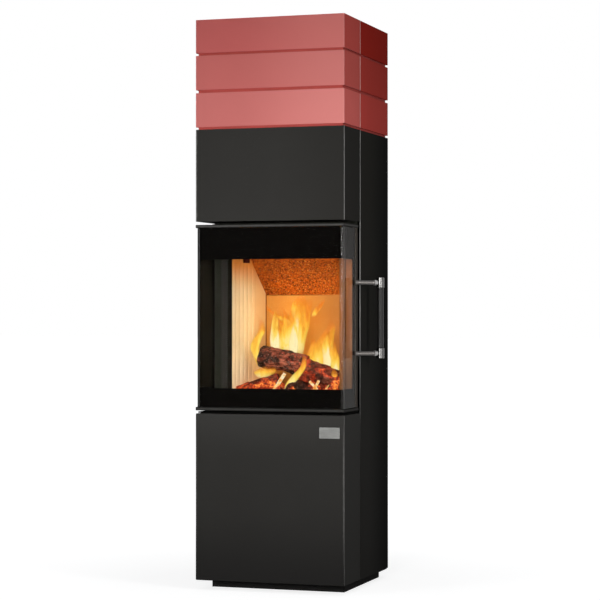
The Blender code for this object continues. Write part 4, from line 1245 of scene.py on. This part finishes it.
def make_coals(name, finish, low, high, size, count, seed):
    """Broken coals: one lump knocked out of a ball, then copied, turned and scattered on the bed."""
    draw = random.Random(seed)
    deselect_all()
    bpy.ops.mesh.primitive_ico_sphere_add(subdivisions=3, radius=1.0, location=(0, 0, 0))
    lump = named(name + "_master")
    knock_uneven(lump, cloud_texture(name + " lumps", 0.9, 1), 1.1, texture_coords="LOCAL")
    parts = []
    for i in range(count):
        piece = copy_of(lump, f"{name}_{i + 1}")
        share = size * draw.uniform(0.7, 1.35)
        piece.scale = (share * draw.uniform(0.9, 1.8), share, share * draw.uniform(0.6, 0.9))
        piece.rotation_euler = (draw.uniform(-0.5, 0.5), draw.uniform(-0.5, 0.5), draw.uniform(0, 6.28))
        piece.location = (draw.uniform(low[0], high[0]), draw.uniform(low[1], high[1]),
                          draw.uniform(low[2], high[2]))
        parts.append(piece)
    bpy.data.objects.remove(lump, do_unlink=True)
    deselect_all()
    for piece in parts:
        piece.select_set(True)
    bpy.context.view_layer.objects.active = parts[0]
    bpy.ops.object.join()
    hand_over(named(name), finish, "stove", angle=50.0, flat_faces=False)


def make_ember_bed():
    """The bed under the logs: a low mound, uneven, that fills the floor between the linings."""
    bed_width, bed_depth, bed_middle, bed_floor = 0.338, 0.205, 0.022, 0.6225
    mound_half, mound_front, mound_rear, mound_height, mound_slope = 0.150, -0.062, 0.105, 0.012, 0.03
    deselect_all()
    bpy.ops.mesh.primitive_grid_add(x_subdivisions=70, y_subdivisions=46, size=1.0, location=(0, 0, 0))
    bed = named("ember_bed")
    bed.scale = (bed_width, bed_depth, 1.0)
    bed.location = (0, bed_middle, bed_floor)
    set_down(bed)
    work_on(bed)
    choose(bed, "VERT", lambda point: abs(point.x) < mound_half and mound_front < point.y < mound_rear)
    bpy.ops.transform.translate(value=(0, 0, mound_height), use_proportional_edit=True,
                                proportional_edit_falloff="SMOOTH", proportional_size=mound_slope)
    stop_work()
    knock_uneven(bed, fine_clouds, 0.010, texture_coords="LOCAL", direction="Z")
    knock_uneven(bed, coarse_clouds, 0.012, texture_coords="LOCAL", direction="Z")
    give_thickness(bed, 0.004)
    hand_over(bed, bed_finish, "stove", angle=60.0, flat_faces=False)


def between(points, share):
    """A place on a smooth curve through the points, with share 0 at the first and 1 at the last."""
    place = share * (len(points) - 1)
    k = min(int(place), len(points) - 2)
    t = place - k
    a, b, c, d = (Vector(points[min(max(k + i, 0), len(points) - 1)]) for i in (-1, 0, 1, 2))
    straight = 2 * b + (c - a) * t
    return 0.5 * (straight + (2 * a - 5 * b + 4 * c - d) * t * t + (3 * b - a - 3 * c + d) * t ** 3)


def make_flame(name, depth, way, finish):
    """A tongue of flame: a disc is drawn up through each (x, z, radius), then pulled uneven by clouds."""
    flat, steps, sides = 0.55, 40, 24
    thinnest = 0.0006
    deselect_all()
    x, z, radius = way[0]
    bpy.ops.mesh.primitive_circle_add(vertices=sides, radius=radius, fill_type="NGON",
                                      location=(x, depth, z))
    tongue = named(name)
    tongue.scale = (1.0, flat, 1.0)
    set_down(tongue)
    work_on(tongue)
    bpy.ops.mesh.select_all(action="SELECT")
    for i in range(1, steps + 1):
        next_x, next_z, next_radius = between(way, i / steps)
        next_radius = max(next_radius, thinnest)
        bpy.ops.mesh.extrude_region_move(TRANSFORM_OT_translate={"value": (next_x - x, 0, next_z - z)})
        share = next_radius / radius
        bpy.ops.transform.resize(value=(share, share, 1.0), center_override=(next_x, depth, next_z))
        x, z, radius = next_x, next_z, next_radius
    stop_work()
    face_outwards(tongue)
    knock_uneven(tongue, slow_clouds, 0.012, texture_coords="GLOBAL", direction="X")
    hand_over(tongue, finish, "stove", angle=180.0, flat_faces=False)
    tongue.visible_shadow = False


big_log_finish = burning("burning log", (0.25, 1.0, 1.0), 0.34, 1.6, 0.30, 0.85)
right_log_finish = burning("glowing log", (0.3, 1.0, 1.0), 0.46, 0.5, 0.05, 0.4)
left_log_finish = burning("glowing left log", (0.3, 1.0, 1.0), 0.49, 0.0, 0.05, 0.3)
dark_log_finish = burning("charred log", (1.0, 0.4, 1.0), 0.30, 0.0, 0.2, 0.2)
coal_finish = burning("coals", (1.0, 1.0, 1.0), 0.56, 0.0, 0.20, 0.3)
bed_finish = burning("ember bed", (1.0, 1.0, 1.0), 0.58, 0.0, 0.25, 0.3)
stick_finish = white_hot("white hot splint")


def make_fire():
    make_ember_bed()
    make_log("big_log", (-0.114, -0.004, 0.7485), (0.044, 0.000, 0.7110), 0.0355, big_log_finish)
    # The whole fire gives light, and three lamps stand for it: the log does not cast their three shadows
    bpy.data.objects["big_log"].visible_shadow = False
    make_log("right_log", (0.020, 0.004, 0.7110), (0.168, -0.012, 0.6560), 0.036, right_log_finish)
    make_log("left_log", (-0.186, -0.050, 0.632), (-0.040, -0.030, 0.652), 0.026, left_log_finish, thin=0.9)
    make_log("front_log", (0.022, -0.080, 0.636), (0.026, 0.030, 0.642), 0.026, dark_log_finish)
    splints = (
        ("split_one", (0.078, -0.074, 0.666), (0.100, -0.062, 0.640), 0.0040, 10),
        ("split_two", (0.108, -0.070, 0.668), (0.090, -0.066, 0.638), 0.0040, 10),
        ("split_three", (-0.046, -0.068, 0.636), (-0.014, -0.052, 0.690), 0.0060, 12),
    )
    for name, start, end, radius, lengths in splints:
        make_log(name, start, end, radius, stick_finish, sides=12, lengths=lengths)
    make_coals("coals", coal_finish, (-0.160, -0.072, 0.634), (0.160, 0.060, 0.648), size=0.013, count=34,
               seed=5)
    # Of each tongue: name, depth, heat, fill, density, and the (x, z, radius) that it goes through
    tongues = [
        ("flame_left", -0.012, 0.46, 0.74, 1.0,
         [(-0.112, 0.700, 0.005), (-0.120, 0.735, 0.013), (-0.134, 0.770, 0.014), (-0.127, 0.800, 0.016),
          (-0.112, 0.826, 0.015), (-0.115, 0.858, 0.011), (-0.132, 0.896, 0.001)]),
        ("flame_column", 0.040, 0.80, 0.84, 1.0,
         [(-0.076, 0.745, 0.014), (-0.078, 0.790, 0.018), (-0.081, 0.835, 0.014), (-0.077, 0.880, 0.008),
          (-0.072, 0.915, 0.001)]),
        ("flame_main", 0.055, 0.35, 0.72, 0.92,
         [(-0.012, 0.730, 0.026), (-0.026, 0.775, 0.046), (-0.018, 0.820, 0.046), (-0.006, 0.860, 0.044),
          (0.006, 0.895, 0.038), (0.020, 0.922, 0.030), (0.038, 0.946, 0.016), (0.062, 0.964, 0.001)]),
        ("flame_core", 0.030, 0.92, 0.90, 1.0,
         [(-0.010, 0.730, 0.010), (-0.013, 0.775, 0.015), (-0.010, 0.820, 0.013), (-0.002, 0.860, 0.009),
          (0.008, 0.900, 0.001)]),
        ("flame_branch", 0.062, 0.32, 0.68, 0.85,
         [(-0.040, 0.755, 0.012), (-0.052, 0.805, 0.024), (-0.050, 0.850, 0.024), (-0.064, 0.892, 0.016),
          (-0.080, 0.930, 0.001)]),
        ("flame_top", 0.070, 0.30, 0.66, 0.75,
         [(0.000, 0.840, 0.010), (-0.008, 0.885, 0.026), (-0.006, 0.918, 0.026), (0.010, 0.946, 0.014),
          (0.034, 0.970, 0.001)]),
        ("flame_wisp_left", 0.058, 0.26, 0.62, 0.7,
         [(-0.030, 0.838, 0.010), (-0.056, 0.866, 0.015), (-0.086, 0.884, 0.012), (-0.112, 0.906, 0.006),
          (-0.124, 0.930, 0.001)]),
        ("flame_wisp_right", 0.066, 0.24, 0.62, 0.7,
         [(0.044, 0.872, 0.006), (0.056, 0.892, 0.010), (0.068, 0.910, 0.010), (0.079, 0.926, 0.006),
          (0.090, 0.944, 0.001)]),
        ("flame_right", 0.030, 0.38, 0.70, 0.90,
         [(0.100, 0.690, 0.018), (0.090, 0.735, 0.034), (0.092, 0.780, 0.034), (0.106, 0.815, 0.024),
          (0.120, 0.846, 0.013), (0.113, 0.876, 0.001)]),
        ("flame_right_core", 0.012, 0.66, 0.78, 0.90,
         [(0.104, 0.690, 0.010), (0.110, 0.735, 0.015), (0.106, 0.780, 0.012), (0.117, 0.832, 0.001)]),
        ("flame_right_branch", 0.036, 0.34, 0.72, 0.85,
         [(0.072, 0.705, 0.012), (0.052, 0.745, 0.018), (0.058, 0.782, 0.013), (0.046, 0.818, 0.001)]),
        ("flame_right_edge", 0.000, 0.42, 0.72, 0.85,
         [(0.138, 0.680, 0.012), (0.142, 0.725, 0.017), (0.134, 0.768, 0.013), (0.142, 0.808, 0.001)]),
        ("flame_front", -0.066, 0.36, 0.92, 1.0,
         [(-0.006, 0.630, 0.009), (0.012, 0.660, 0.015), (0.032, 0.686, 0.014), (0.050, 0.712, 0.011),
          (0.057, 0.742, 0.007), (0.050, 0.768, 0.001)]),
        ("flame_edge", -0.036, 0.42, 0.88, 1.0,
         [(0.116, 0.630, 0.008), (0.146, 0.660, 0.015), (0.153, 0.690, 0.011), (0.146, 0.716, 0.001)]),
        ("flame_under", -0.040, 0.44, 0.74, 0.9,
         [(-0.096, 0.672, 0.010), (-0.092, 0.684, 0.030), (-0.086, 0.694, 0.040), (-0.076, 0.706, 0.032),
          (-0.066, 0.720, 0.001)]),
    ]
    for i, (name, depth, heat, fill, density, way) in enumerate(tongues):
        foot, tip = way[0][1], way[-1][1]
        seed = i * 3.7
        make_flame(name, depth, way, flame(name.replace("_", " "), foot, tip, heat, seed, fill, density))


make_upper_front()
make_base_door()
make_side_panels()
make_rings()
make_door_plates()
make_glass()
make_enamel()
make_arms()
make_collars()
make_grip()
make_push_plate()
make_retainers()
make_fire()
